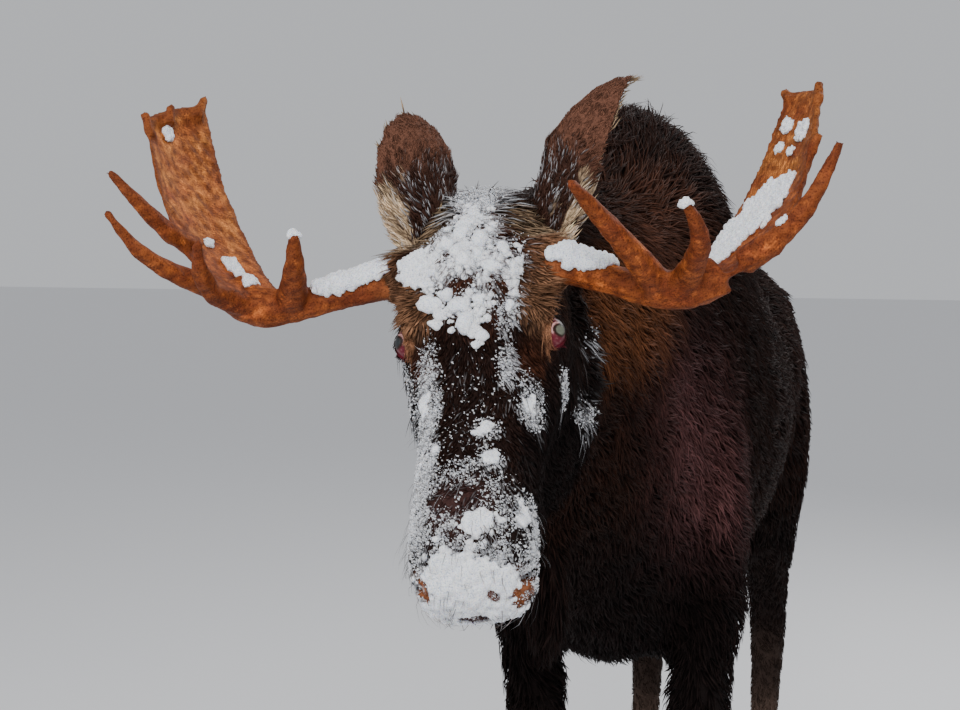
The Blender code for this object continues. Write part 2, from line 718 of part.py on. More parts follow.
# Paths in the head's frame: along, across (outward), up, radius.
ANTLERS = {
    "antler_right": {
        "side": -1,
        "palm_saw_share": 0.90,
        "beam": [
            (0.108, 0.085, -0.036, 0.026),
            (0.113, 0.125, -0.039, 0.0235),
            (0.122, 0.190, -0.046, 0.0205),
            (0.130, 0.255, -0.050, 0.0235),
            (0.132, 0.310, -0.046, 0.030),
            (0.112, 0.350, -0.028, 0.030),
        ],
        "blade": [
            # front edge, rear edge, half thickness
            ((0.150, 0.352, -0.004), (0.092, 0.285, -0.072), 0.020),
            ((0.100, 0.395, 0.040), (0.016, 0.335, -0.072), 0.014),
            ((0.029, 0.428, 0.079), (-0.074, 0.377, -0.032), 0.0095),
            ((-0.030, 0.444, 0.100), (-0.142, 0.396, 0.000), 0.0085),
            ((-0.081, 0.453, 0.118), (-0.204, 0.410, 0.035), 0.0075),
        ],
        "snags": [
            ((-0.070, 0.450, 0.108), (-0.100, 0.460, 0.127), 0.0090),
            ((-0.112, 0.434, 0.084), (-0.146, 0.437, 0.094), 0.0095),
            ((-0.165, 0.414, 0.044), (-0.212, 0.409, 0.044), 0.0095),
        ],
        "brow_inner": [
            (0.132, 0.262, -0.040, 0.024),
            (0.142, 0.246, 0.010, 0.019),
            (0.146, 0.232, 0.060, 0.014),
            (0.141, 0.222, 0.106, 0.008),
        ],
        "brow_outer": [
            (0.140, 0.335, -0.020, 0.022),
            (0.160, 0.352, 0.025, 0.0165),
            (0.172, 0.352, 0.080, 0.0125),
            (0.166, 0.340, 0.134, 0.007),
        ],
        "tine_upper": [
            (0.070, 0.390, 0.020, 0.016),
            (0.084, 0.408, 0.060, 0.0145),
            (0.078, 0.436, 0.118, 0.0115),
            (0.057, 0.468, 0.168, 0.0065),
        ],
        "tine_lower": [
            (0.125, 0.355, -0.010, 0.020),
            (0.146, 0.385, 0.040, 0.0155),
            (0.150, 0.428, 0.100, 0.0120),
            (0.126, 0.462, 0.163, 0.0065),
        ],
    },
    "antler_left": {
        "side": 1,
        "palm_saw_share": 0.18,
        "beam": [
            (0.125, 0.080, -0.020, 0.026),
            (0.138, 0.112, -0.002, 0.0245),
            (0.166, 0.171, -0.004, 0.0215),
            (0.190, 0.230, -0.008, 0.0235),
            (0.196, 0.280, -0.006, 0.027),
            (0.180, 0.322, 0.000, 0.028),
        ],
        "blade": [
            ((0.210, 0.330, 0.020), (0.140, 0.270, -0.050), 0.019),
            ((0.170, 0.385, 0.036), (0.055, 0.325, -0.066), 0.014),
            ((0.100, 0.424, 0.040), (-0.035, 0.378, -0.048), 0.0095),
            ((0.020, 0.452, 0.054), (-0.092, 0.404, -0.030), 0.0085),
            ((-0.090, 0.472, 0.048), (-0.152, 0.430, -0.010), 0.0075),
        ],
        "snags": [
            ((0.030, 0.448, 0.048), (0.004, 0.464, 0.068), 0.0095),
            ((-0.076, 0.468, 0.044), (-0.114, 0.474, 0.046), 0.0100),
            ((-0.130, 0.434, -0.004), (-0.162, 0.429, -0.010), 0.0095),
        ],
        "brow_inner": [
            (0.192, 0.240, 0.000, 0.024),
            (0.200, 0.222, 0.060, 0.0185),
            (0.204, 0.188, 0.140, 0.0145),
            (0.211, 0.152, 0.226, 0.0075),
        ],
        "brow_outer": [
            (0.196, 0.268, 0.000, 0.022),
            (0.210, 0.290, 0.060, 0.0175),
            (0.221, 0.300, 0.120, 0.0135),
            (0.217, 0.285, 0.182, 0.0075),
        ],
        "tine_upper": [
            (0.176, 0.350, 0.015, 0.020),
            (0.168, 0.395, 0.046, 0.0165),
            (0.142, 0.440, 0.083, 0.0130),
            (0.097, 0.481, 0.138, 0.0070),
        ],
    },
}

# Each fork is sawn off its beam or palm at this share of its path, by a blade this many times as
# wide as the fork. The palm is sawn off the beam by a blade of its own.
FORK_SAW_SHARE = {"brow_inner": 0.42, "brow_outer": 0.55, "tine_upper": 0.42, "tine_lower": 0.42}
FORK_SAW_REACH = 1.9
PALM_SAW_HALVES = (0.10, 0.075)
PALM_CAMBER = 0.14
FACE_AXIS = Vector((1.0, 0.0, 0.3))


def outward(point, side):
    return Vector((point[0], side * point[1], point[2]))


def palm_rings(stations, side, arc_points=7):
    """Flattened crescents between the palm's front and rear edges, hollow towards the face."""
    flat = [(*front, *rear, thick) for front, rear, thick in stations]
    rings = []
    for row in smoothed(flat, 3):
        front = outward(row[0:3], side)
        rear = outward(row[3:6], side)
        thick = row[6]
        width = rear - front
        inward = Vector((1.0, -side * 0.9, 0.4))
        inward = (inward - width * (inward.dot(width) / width.length_squared)).normalized()
        ring = []
        for face in (1, -1):
            for index in range(arc_points + 1):
                share = index / arc_points if face > 0 else 1 - index / arc_points
                round_off = math.sqrt(max(0.0, 1 - (2 * share - 1) ** 4))
                camber = PALM_CAMBER * width.length * (4 * share * (1 - share))
                offset = face * thick * (0.25 + 0.75 * round_off) - camber
                ring.append(HEAD @ (front + width * share + inward * offset))
        rings.append(ring)
    return rings


def antler_tube(name, path, side):
    points = [(*outward(stop[:3], side), stop[3]) for stop in path]
    lean = HEAD.to_3x3() @ Vector((1.0, 0.2, 0.1))
    return tube(name, points, HEAD, sides=14, wide_axis=lean)


def make_antler(name, shape, trimmer):
    side = shape["side"]
    solids = [antler_tube("beam", shape["beam"], side)]
    solids.append(skin_rings("palm", palm_rings(shape["blade"], side)))
    for start, end, radius in shape["snags"]:
        path = [(*start, radius), (*end, radius * 0.45)]
        solids.append(antler_tube("snag", path, side))
    forks = [fork for fork in FORK_SAW_SHARE if fork in shape]
    for fork in forks:
        solids.append(antler_tube(fork, shape[fork], side))
    antler = joined(name, solids)
    blend_solids(antler, ANTLER_VOXEL, 3)
    thin_out(antler, ANTLER_TRIANGLES)
    cut_with(antler, trimmer, keep_cutter=True)
    turn = HEAD.to_3x3()
    seeds = {f"{name}_beam": HEAD @ outward(shape["beam"][2][:3], side)}
    for fork in forks:
        path = smoothed(shape[fork], 8)
        cut = round(FORK_SAW_SHARE[fork] * (len(path) - 1))
        before = outward(path[cut - 1][:3], side)
        after = outward(path[cut + 1][:3], side)
        reach = path[cut][3] * FORK_SAW_REACH
        saw(antler, HEAD @ before.lerp(after, 0.5), turn @ (after - before), turn @ FACE_AXIS, reach, reach)
        seeds[f"{name}_{fork}"] = HEAD @ outward(shape[fork][-1][:3], side)
    low, high = shape["blade"][0], shape["blade"][1]
    low_middle = (outward(low[0], side) + outward(low[1], side)) / 2
    high_middle = (outward(high[0], side) + outward(high[1], side)) / 2
    place = HEAD @ low_middle.lerp(high_middle, shape["palm_saw_share"])
    width = turn @ (outward(low[1], side) - outward(low[0], side))
    saw(antler, place, turn @ (high_middle - low_middle), width, *PALM_SAW_HALVES)
    seeds[f"{name}_palm"] = HEAD @ outward(shape["blade"][-1][1], side)
    return name_parts(antler, seeds)


# ---------------------------------------------------------------- parting the flesh

SIDEWAYS = (1, 0, 0)

# Cuts across the body: centre, direction square to the cut, half width and half height.
BODY_CUTS = [
    ((0, BARREL_CUT_Y, 1.4), (0, 1, 0), 0.5, 0.7),
    ((0, RUMP_CUT_Y, 1.4), (0, 1, 0), 0.5, 0.7),
    ((0, NECK_CUT_Y, 1.47), (0, math.cos(NECK_CUT_TILT), -math.sin(NECK_CUT_TILT)), 0.5, 0.66),
    ((0.01, -0.715, 1.605), (0, 0.975, 0.222), 0.32, 0.375),
    ((0.03, -0.545, 1.170), (0, 0.53, 0.85), 0.12, 0.10),
    ((0, 1.415, 1.477), (0, 0.74, -0.67), 0.08, 0.06),
]

# A point on each length of the body.
BODY_SEEDS = {
    "head": on_head(0.65, 0.0, -0.10),
    "neck": (0.0, -0.50, 1.88),
    "bell": BELL_PATH[-1][:3],
    "trunk_shoulders": (0.0, 0.05, 1.93),
    "trunk_barrel": (0.0, 0.60, 1.75),
    "trunk_rump": (0.0, 1.05, 1.66),
    "tail": TAIL_PATH[-1][:3],
}

# Level cuts across each leg: height and forward place.
LEG_CUTS = {
    "foreleg": ((0.80, 0.03), (0.56, 0.0), (0.20, 0.01)),
    "hindleg": ((0.90, 1.12), (0.64, 1.275), (0.20, 1.19)),
}
LEG_CUT_MIDDLE = 0.155
LEG_CUT_HALVES = (0.115, 0.19)

# The slanted cut between leg and trunk: its slope, a point low on it (across, height), and the
# places along the body where it starts and ends.
LEG_TOPS = {
    "foreleg": (math.radians(45), 0.06, 0.84, -0.42, BARREL_CUT_Y),
    "hindleg": (math.radians(50), 0.05, 1.00, RUMP_CUT_Y, 1.50),
}
LEG_TOP_MIDDLE = 0.21
LEG_TOP_HALF = 0.20

# A point on the outer skin of each length of a leg: height, forward place, sideways place.
LEG_LENGTHS = {
    "foreleg": {
        "arm": (0.88, 0.03, 0.23),
        "forearm": (0.68, 0.02, 0.21),
        "cannon": (0.38, 0.012, 0.186),
        "foot": (0.12, -0.01, 0.195),
    },
    "hindleg": {
        "thigh": (1.05, 1.04, 0.27),
        "gaskin": (0.77, 1.20, 0.215),
        "cannon": (0.40, 1.23, 0.186),
        "foot": (0.12, 1.16, 0.195),
    },
}


def saw_leg(flesh, leg, side):
    """Cuts across one leg, and the slanted cut that takes it off the trunk."""
    kind = leg.split("_")[0]
    for height, forward in LEG_CUTS[kind]:
        place = (TRUNK_SHIFT + side * LEG_CUT_MIDDLE, forward - leg_lean(leg, height), height)
        saw(flesh, place, (0, 0, 1), SIDEWAYS, *LEG_CUT_HALVES)
    slope, low_across, low_height, start, end = LEG_TOPS[kind]
    slant = Vector((side * math.cos(slope), 0, math.sin(slope)))
    height = low_height + (LEG_TOP_MIDDLE - low_across) * math.tan(slope)
    place = (TRUNK_SHIFT + side * LEG_TOP_MIDDLE, (start + end) / 2, height)
    normal = slant.cross(Vector((0, 1, 0)))
    saw(flesh, place, normal, slant, LEG_TOP_HALF / math.cos(slope), (end - start) / 2)


def part_flesh(flesh):
    """Saws the one body into head, neck, trunk, tail, bell and the lengths of each leg."""
    for centre, normal, half_width, half_height in BODY_CUTS:
        saw(flesh, centre, normal, SIDEWAYS, half_width, half_height)
    seeds = dict(BODY_SEEDS)
    for leg, _stations, side in leg_sides():
        saw_leg(flesh, leg, side)
        for length, (height, forward, out) in LEG_LENGTHS[leg.split("_")[0]].items():
            place = (TRUNK_SHIFT + side * out, forward - leg_lean(leg, height), height)
            seeds[f"{leg}_{length}"] = place
    return name_parts(flesh, seeds)


# ---------------------------------------------------------------- finish

def paint(nodes):
    coat = make_material("coat", COAT_BROWN, 0.85)
    face = make_material("face", FACE_BLACK, 0.8)
    leg = make_material("leg", LEG_GREY, 0.85)
    horn = make_material("horn", HORN_BLACK, 0.45)
    antler = make_material("antler", ANTLER_TAN, 0.6)
    eye = make_material("eye", EYE_DARK, 0.08)
    pale_lengths = ("forearm", "gaskin", "cannon", "foot")
    for name, node in nodes.items():
        first = name.split("_")[0]
        chosen = {"hoof": horn, "dewclaw": horn, "antler": antler, "eye": eye, "head": face}.get(first, coat)
        if first in ("foreleg", "hindleg") and name.endswith(pale_lengths):
            chosen = leg
        node.data.materials.clear()
        node.data.materials.append(chosen)


def stand_on_origin(nodes):
    """Moves the whole model so that the centre of its box stands on the origin."""
    corners = [vertex.co for node in nodes.values() for vertex in node.data.vertices]
    low = [min(corner[axis] for corner in corners) for axis in range(3)]
    high = [max(corner[axis] for corner in corners) for axis in range(3)]
    shift = Matrix.Translation((-(low[0] + high[0]) / 2, -(low[1] + high[1]) / 2, -low[2]))
    for node in nodes.values():
        node.data.transform(shift)


def main():
    clear_scene()
    flesh = make_flesh()
    trimmer = swollen(flesh, "head_trimmer", GAP * 1.5)
    nodes = {}
    nodes.update(make_ears(trimmer))
    for name, shape in ANTLERS.items():
        nodes.update(make_antler(name, shape, trimmer))
    remove_object(trimmer)
    nodes.update(make_eyes(flesh))
    nodes.update(make_hooves(flesh))
    nodes.update(part_flesh(flesh))
    for name, node in nodes.items():
        node.name = name
        node.data.name = name
    paint(nodes)
    stand_on_origin(nodes)


main()
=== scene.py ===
"""Looks of a life-size young bull moose: winter coat, antlers, eyes, hooves and lying snow.

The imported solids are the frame. One skin is melted from all the nodes of flesh and drawn in by the
depth of the coat. Over it lie joined meshes of tapered locks of hair that follow the lie of the
coat. Antlers, eyes, hooves and dewclaws are finer pieces in the place of their own nodes, and snow
lies on the face and along the tops of the antlers. Everything is in metres.

The head has its own frame, as in the solids: along the face from the poll to the muzzle, across to
the moose's left, and up out of the forehead.
"""

import copy
import math

import bmesh
import bpy
import numpy as np
from mathutils import Matrix, Vector
from mathutils.bvhtree import BVHTree
from mathutils.kdtree import KDTree


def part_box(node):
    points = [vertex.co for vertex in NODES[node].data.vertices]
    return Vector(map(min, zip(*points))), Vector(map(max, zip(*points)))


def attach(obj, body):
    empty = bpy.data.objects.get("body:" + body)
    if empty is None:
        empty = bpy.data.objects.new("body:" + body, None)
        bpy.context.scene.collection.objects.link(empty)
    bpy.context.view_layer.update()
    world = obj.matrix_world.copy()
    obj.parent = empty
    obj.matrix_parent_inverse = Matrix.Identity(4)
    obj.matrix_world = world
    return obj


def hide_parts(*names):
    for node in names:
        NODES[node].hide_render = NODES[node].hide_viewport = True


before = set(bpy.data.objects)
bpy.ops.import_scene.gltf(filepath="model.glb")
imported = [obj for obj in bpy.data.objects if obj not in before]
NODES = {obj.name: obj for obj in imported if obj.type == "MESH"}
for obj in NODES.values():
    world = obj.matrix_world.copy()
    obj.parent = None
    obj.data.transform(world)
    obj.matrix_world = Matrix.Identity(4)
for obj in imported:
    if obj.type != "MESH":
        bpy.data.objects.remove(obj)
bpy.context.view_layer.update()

# ---- driving sizes

# The head's pose, and the places that locate its features: (along, across, up).
HEAD_YAW = math.radians(8)
FACE_TILT = math.radians(43)
HEAD_ROLL = math.radians(5)
EYES_MIDDLE = (0.213, 0.0, -0.052)

# The camera looks at the face from a little to its left and above.
CAMERA_AZIMUTH = math.radians(16)
CAMERA_PITCH = math.radians(5)
CAMERA_DISTANCE = 2.195
CAMERA_DROP = 0.022
FLOOR_SIZE = 30.0
LENS_MM = 62.0

# Melted pieces: the size of their voxels, and the rounds of smoothing that follow.
SKIN_MELT = (0.011, 14)
EAR_MELT = (0.0028, 5)
ANTLER_MELT = (0.0034, 12)
HOOF_MELT = (0.005, 3)
SNOW_MELT = (0.0021, 2)

# Solids swell by this before they are melted, so that the saw cuts between them close.
CLOSE_GAPS = 0.001

# Rounds in which neighbouring regions of the coat run into one another.
BLEND_ROUNDS = 14

# Locks of two rings are short and straight, those of three follow the skin.
COAT_PIECE_LOCKS = {2: 19500, 3: 12200}
LONG_LOCK = 0.062
LOCK_SHARE = 1.0

RANDOM = np.random.default_rng(7)

# ---- colours, linear

BLACK = np.array((0.004, 0.0028, 0.003))
SOOT = np.array((0.009, 0.0052, 0.0048))
UMBER = np.array((0.025, 0.011, 0.0078))
BROWN = np.array((0.062, 0.0235, 0.0135))
RUSSET = np.array((0.13, 0.044, 0.022))
GOLD = np.array((0.26, 0.095, 0.038))
TAN = np.array((0.46, 0.23, 0.125))
# Mauve of a sheen painted on the coat.
MAUVE_SHEEN = np.array((0.15, 0.062, 0.064))
DRAB = np.array((0.09, 0.05, 0.038))
CREAM = np.array((0.76, 0.56, 0.36))
ASH = np.array((0.19, 0.135, 0.105))
VELVET = np.array((0.18, 0.084, 0.056))
NOSE_BROWN = np.array((0.066, 0.031, 0.03))
FROST = np.array((0.78, 0.8, 0.85))
AMBER = np.array((0.44, 0.13, 0.03))
RUST = np.array((0.2, 0.045, 0.016))
STRAW = np.array((0.62, 0.25, 0.06))

# ---- the coat by region

# Each region: length, width, depth and spacing of its locks, then waviness, the way the hair
# lies (left, back, up), and its colours at the root and the tip.
COAT = {
    "head": (0.02, 0.0027, 0.0048, 0.0043, 0.1, (0, 1, 0), SOOT, UMBER),
    "ear": (0.0085, 0.0015, 0.0016, 0.0033, 0.1, (0, 0, 1), BROWN * 1.4, VELVET),
    "neck": (0.044, 0.0028, 0.026, 0.0058, 0.45, (0, 0.75, -0.75), BLACK, UMBER),
    "bell": (0.055, 0.0036, 0.015, 0.0066, 0.4, (0, 0.05, -1), BLACK, UMBER),
    "trunk_shoulders": (0.05, 0.0034, 0.032, 0.0075, 0.3, (0, 0.75, -0.7), BLACK, UMBER),
    "trunk_barrel": (0.052, 0.0044, 0.028, 0.0102, 0.25, (0, 1, -0.45), BLACK, UMBER),
    "trunk_rump": (0.047, 0.0046, 0.015, 0.0104, 0.25, (0, 0.85, -0.6), BLACK, UMBER),
    "tail": (0.04, 0.0036, 0.01, 0.0072, 0.25, (0, 0.35, -1), BLACK, UMBER),
    "arm": (0.045, 0.0042, 0.014, 0.0094, 0.25, (0, 0.4, -1), BLACK, UMBER),
    "thigh": (0.045, 0.0044, 0.013, 0.01, 0.22, (0, 0.5, -1), BLACK, UMBER),
    "forearm": (0.024, 0.0034, 0.0062, 0.0082, 0.12, (0, 0.12, -1), SOOT, DRAB * 0.6),
    "gaskin": (0.024, 0.0034, 0.0062, 0.0085, 0.12, (0, 0.3, -1), SOOT, DRAB * 0.6),
    "cannon": (0.016, 0.0027, 0.0038, 0.0076, 0.1, (0, 0.02, -1), DRAB, ASH),
    "foot": (0.019, 0.0029, 0.004, 0.0066, 0.12, (0, -0.1, -1), UMBER, DRAB),
}
REGIONS = list(COAT)


def region_of(node):
    """The region of the coat that a node of flesh belongs to."""
    if node.startswith("ear"):
        return "ear"
    return node if node in COAT else node.split("_")[-1]


FLESH = sorted(n for n in NODES if not n.startswith(("eye", "antler", "hoof", "dewclaw")))
EARS = ("ear_left", "ear_right")
BODY_FLESH = [n for n in FLESH if n not in EARS]


# ---- small tools

def unit(vectors):
    return vectors / np.maximum(np.linalg.norm(vectors, axis=-1, keepdims=True), 1e-9)


def laid(vectors, normals):
    """Vectors less their part along the normals."""
    return vectors - normals * np.sum(vectors * normals, axis=1, keepdims=True)


def soft(value, low, high):
    """0 below low, 1 above high, smooth between; low may be the greater of the two."""
    share = np.clip((value - low) / (high - low), 0.0, 1.0)
    return share * share * (3 - 2 * share)


def near(points, centre, radii):
    """1 round a centre, falling smoothly to 0 at the edge of an ellipsoid."""
    reach = np.linalg.norm((points - np.array(centre)) / np.array(radii), axis=1)
    return soft(reach, 1.0, 0.35)


def ripple(points, size, seed):
    """Smooth chance values from -1 to 1 that change over a length, made of sine waves."""
    source = np.random.default_rng(seed)
    total = np.zeros(len(points))
    for _wave in range(7):
        heading = source.normal(size=3)
        heading *= 2 * math.pi / size * source.uniform(0.7, 1.4) / np.linalg.norm(heading)
        total += np.sin(points @ heading + source.uniform(0, 2 * math.pi))
    return total / 3.2


def mix(first, second, share):
    share = np.asarray(share)[..., None]
    return first * (1 - share) + second * share


def head_matrix():
    """Columns: along the face, across to the left, up out of the forehead; then the poll."""
    facing = Vector((math.sin(HEAD_YAW), -math.cos(HEAD_YAW), 0.0))
    left = Vector((math.cos(HEAD_YAW), math.sin(HEAD_YAW), 0.0))
    up = Vector((0.0, 0.0, 1.0))
    along = facing * math.sin(FACE_TILT) - up * math.cos(FACE_TILT)
    out = facing * math.cos(FACE_TILT) + up * math.sin(FACE_TILT)
    roll = Matrix.Rotation(HEAD_ROLL, 3, facing)
    matrix = Matrix((roll @ along, roll @ left, roll @ out)).transposed().to_4x4()
    corners = [corner for eye in ("eye_left", "eye_right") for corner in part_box(eye)]
    middle = sum(corners, Vector()) / len(corners)
    matrix.translation = middle - matrix.to_3x3() @ Vector(EYES_MIDDLE)
    return matrix


HEAD = head_matrix()
HEAD_TURN = np.array(HEAD.to_3x3())
POLL = np.array(HEAD.translation)


def to_head(points):
    return (points - POLL) @ HEAD_TURN


def folded(local):
    """Points in the head's frame with its right side laid on its left."""
    return np.stack([local[:, 0], np.abs(local[:, 1]), local[:, 2]], axis=1)


def from_head(points):
    return points @ HEAD_TURN.T + POLL


def centre_of(node):
    low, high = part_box(node)
    return np.array((low + high) / 2)


# ---- meshes as arrays

def array_of(items, key, width, kind=float):
    values = np.empty(len(items) * width, dtype=kind)
    items.foreach_get(key, values)
    return values.reshape(-1, width)


def flat(values, kind=float):
    return np.ascontiguousarray(values, dtype=kind).ravel()


def points_of(mesh):
    return array_of(mesh.vertices, "co", 3)


def set_points(mesh, points):
    mesh.vertices.foreach_set("co", flat(points))
    mesh.update()


def normals_of(mesh):
    return array_of(mesh.vertex_normals, "vector", 3)


def edges_of(mesh):
    return array_of(mesh.edges, "vertices", 2, np.int32)


def triangles_of(mesh):
    mesh.calc_loop_triangles()
    return array_of(mesh.loop_triangles, "vertices", 3, np.int32)


def mesh_from(name, points, triangles):
    mesh = bpy.data.meshes.new(name)
    mesh.vertices.add(len(points))
    mesh.vertices.foreach_set("co", flat(points))
    mesh.loops.add(triangles.size)
    mesh.loops.foreach_set("vertex_index", flat(triangles, np.int32))
    mesh.polygons.add(len(triangles))
    mesh.polygons.foreach_set("loop_start", np.arange(0, triangles.size, 3, dtype=np.int32))
    mesh.update(calc_edges=True)
    mesh.shade_smooth()
    return mesh


def placed(name, data):
    """An object in the scene."""
    thing = bpy.data.objects.new(name, data)
    bpy.context.scene.collection.objects.link(thing)
    return thing


def mesh_of(shape, name):
    """A bmesh as a mesh; the bmesh is freed."""
    mesh = bpy.data.meshes.new(name)
    shape.to_mesh(mesh)
    shape.free()
    return mesh


def piece(name, mesh, material, replaced=()):
    """A visible piece of the model, riding on its one body."""
    thing = placed(name, mesh)
    mesh.name = name
    mesh.materials.clear()
    mesh.materials.append(material)
    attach(thing, "root")
    if replaced:
        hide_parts(*replaced)


def paint(mesh, colours):
    """Stores one colour for each vertex."""
    attribute = mesh.color_attributes.new("hair", "FLOAT_COLOR", "POINT")
    filled = np.ones((len(colours), 4))
    filled[:, :3] = np.clip(colours, 0, 1)
    attribute.data.foreach_set("color", filled.ravel())


def neighbour_mean(values, edges):
    """For each vertex, the mean of its neighbours' values."""
    first, second = edges[:, 0], edges[:, 1]
    count = len(values)
    degree = np.bincount(first, minlength=count) + np.bincount(second, minlength=count)
    table = values.reshape(count, -1)
    total = np.empty_like(table)
    for column in range(table.shape[1]):
        total[:, column] = np.bincount(first, table[second, column], count)
        total[:, column] += np.bincount(second, table[first, column], count)
    return (total / np.maximum(degree, 1)[:, None]).reshape(values.shape)


def relaxed(points, edges, rounds):
    """Smoothed without shrinking: each round draws in and then swells a little more."""
    for _round in range(rounds):
        for step in (0.5, -0.52):
            points = points + step * (neighbour_mean(points, edges) - points)
    return points


def melted(name, nodes, melt, extra=()):
    """One closed smooth mesh round several nodes, whose saw cuts close up."""
    voxel, rounds = melt
    shape = bmesh.new()
    for mesh in [NODES[node].data for node in nodes] + list(extra):
        first = len(shape.verts)
        shape.from_mesh(mesh)
        shape.verts.ensure_lookup_table()
        shape.normal_update()
        for index in range(first, len(shape.verts)):
            vertex = shape.verts[index]
            vertex.co += vertex.normal * CLOSE_GAPS
    helper = placed(name, mesh_of(shape, name))
    remesh = helper.modifiers.new("melt", "REMESH")
    remesh.mode = "VOXEL"
    remesh.voxel_size = voxel
    remesh.use_smooth_shade = True
    graph = bpy.context.evaluated_depsgraph_get()
    result = bpy.data.meshes.new_from_object(helper.evaluated_get(graph))
    bpy.data.objects.remove(helper)
    set_points(result, relaxed(points_of(result), edges_of(result), rounds))
    return result


def refined(mesh, chosen):
    """The mesh with the faces round chosen points split in four."""
    flags = chosen(points_of(mesh))
    shape = bmesh.new()
    shape.from_mesh(mesh)
    shape.verts.ensure_lookup_table()
    edges = [e for e in shape.edges if flags[e.verts[0].index] and flags[e.verts[1].index]]
    bmesh.ops.subdivide_edges(shape, edges=edges, cuts=1, use_grid_fill=True)
    shape.to_mesh(mesh)
    shape.free()
    return mesh


# ---- materials

def material(name, roughness, specular):
    made = bpy.data.materials.new(name)
    made.use_nodes = True
    shader = made.node_tree.nodes["Principled BSDF"]
    shader.inputs["Roughness"].default_value = roughness
    shader.inputs["Specular IOR Level"].default_value = specular
    return made, made.node_tree, shader


def add_node(tree, kind, **values):
    node = tree.nodes.new(kind)
    for key, value in values.items():
        if key in node.inputs:
            node.inputs[key].default_value = value
        else:
            setattr(node, key, value)
    return node


def painted_colour(tree):
    return add_node(tree, "ShaderNodeVertexColor", layer_name="hair").outputs["Color"]


def object_place(tree):
    return add_node(tree, "ShaderNodeTexCoord").outputs["Object"]


def noise_node(tree, source, scale, detail, stretch=(1.0, 1.0, 1.0)):
    """A noise texture read from a coordinate output, squeezed along each axis."""
    mapping = add_node(tree, "ShaderNodeMapping")
    mapping.inputs["Scale"].default_value = stretch
    tree.links.new(source, mapping.inputs["Vector"])
    noise = add_node(tree, "ShaderNodeTexNoise", Scale=scale, Detail=detail)
    tree.links.new(mapping.outputs["Vector"], noise.inputs["Vector"])
    return noise.outputs["Fac"]


def ramp_node(tree, value, stops):
    """A colour ramp through (place, colour) stops."""
    ramp = add_node(tree, "ShaderNodeValToRGB")
    for end, (place, colour) in enumerate((stops[0], stops[-1])):
        ramp.color_ramp.elements[end].position = place
        ramp.color_ramp.elements[end].color = (*colour, 1.0)
    for place, colour in stops[1:-1]:
        ramp.color_ramp.elements.new(place).color = (*colour, 1.0)
    tree.links.new(value, ramp.inputs["Fac"])
    return ramp.outputs["Color"]


def bump_node(tree, shader, height, distance, strength):
    bump = add_node(tree, "ShaderNodeBump", Strength=strength, Distance=distance)
    tree.links.new(height, bump.inputs["Height"])
    tree.links.new(bump.outputs["Normal"], shader.inputs["Normal"])


def tinted(tree, colour, shade):
    blended = add_node(tree, "ShaderNodeMix", data_type="RGBA", blend_type="MULTIPLY")
    blended.inputs["Factor"].default_value = 1.0
    tree.links.new(colour, blended.inputs["A"])
    tree.links.new(shade, blended.inputs["B"])
    return blended.outputs["Result"]


def hair_material():
    """Strands run along each lock; colours come from the locks' own vertices."""
    made, tree, shader = material("moose_hair", 0.66, 0.05)
    colour = painted_colour(tree)
    strand = add_node(tree, "ShaderNodeUVMap", uv_map="Strand").outputs["UV"]
    streak = noise_node(tree, strand, 7.0, 3.0, (1.0, 0.12, 1.0))
    shade = ramp_node(tree, streak, [(0.3, (0.62, 0.62, 0.62)), (0.72, (1.25, 1.22, 1.18))])
    tree.links.new(tinted(tree, colour, shade), shader.inputs["Base Color"])
    bump_node(tree, shader, streak, 0.0015, 0.8)
    return made


def skin_material():
    """Skin under the coat, with the coat's markings and a fine grain of short hair."""
    made, tree, shader = material("moose_skin", 0.7, 0.06)
    colour = painted_colour(tree)
    place = object_place(tree)
    grain = noise_node(tree, place, 420.0, 5.0)
    shade = ramp_node(tree, grain, [(0.32, (0.55, 0.55, 0.55)), (0.7, (1.2, 1.18, 1.15))])
    tree.links.new(tinted(tree, colour, shade), shader.inputs["Base Color"])
    bump_node(tree, shader, grain, 0.002, 0.7)
    return made


def antler_material():
    """Hard orange-brown antler: fine grain and dark pores, redder in its hollows."""
    made, tree, shader = material("moose_antler", 0.66, 0.12)
    colour = painted_colour(tree)
    place = object_place(tree)
    pores = noise_node(tree, place, 430.0, 6.0)
    grain = noise_node(tree, place, 75.0, 8.0)
    dark_pores = [(0.34, (0.48, 0.34, 0.26)), (0.45, (0.92, 0.88, 0.84)), (0.7, (1.28, 1.24, 1.18))]
    speckle = ramp_node(tree, pores, dark_pores)
    mottle = ramp_node(tree, grain, [(0.32, (0.72, 0.62, 0.55)), (0.62, (1.22, 1.2, 1.15))])
    tree.links.new(tinted(tree, tinted(tree, colour, speckle), mottle), shader.inputs["Base Color"])
    height = add_node(tree, "ShaderNodeMath", operation="ADD")
    tree.links.new(pores, height.inputs[0])
    tree.links.new(grain, height.inputs[1])
    bump_node(tree, shader, height.outputs["Value"], 0.0014, 0.7)
    return made


def horn_material():
    made, tree, shader = material("moose_horn", 0.45, 0.5)
    rings = noise_node(tree, object_place(tree), 60.0, 4.0, (0.4, 0.4, 5.0))
    colour = ramp_node(tree, rings, [(0.3, (0.008, 0.006, 0.005)), (0.7, (0.034, 0.027, 0.022))])
    tree.links.new(colour, shader.inputs["Base Color"])
    bump_node(tree, shader, rings, 0.003, 0.6)
    return made


def eye_material():
    made, tree, shader = material("moose_eye", 0.36, 0.1)
    shader.inputs["Coat Weight"].default_value = 0.06
    shader.inputs["Coat Roughness"].default_value = 0.03
    shader.inputs["Coat IOR"].default_value = 1.33
    tree.links.new(painted_colour(tree), shader.inputs["Base Color"])
    return made


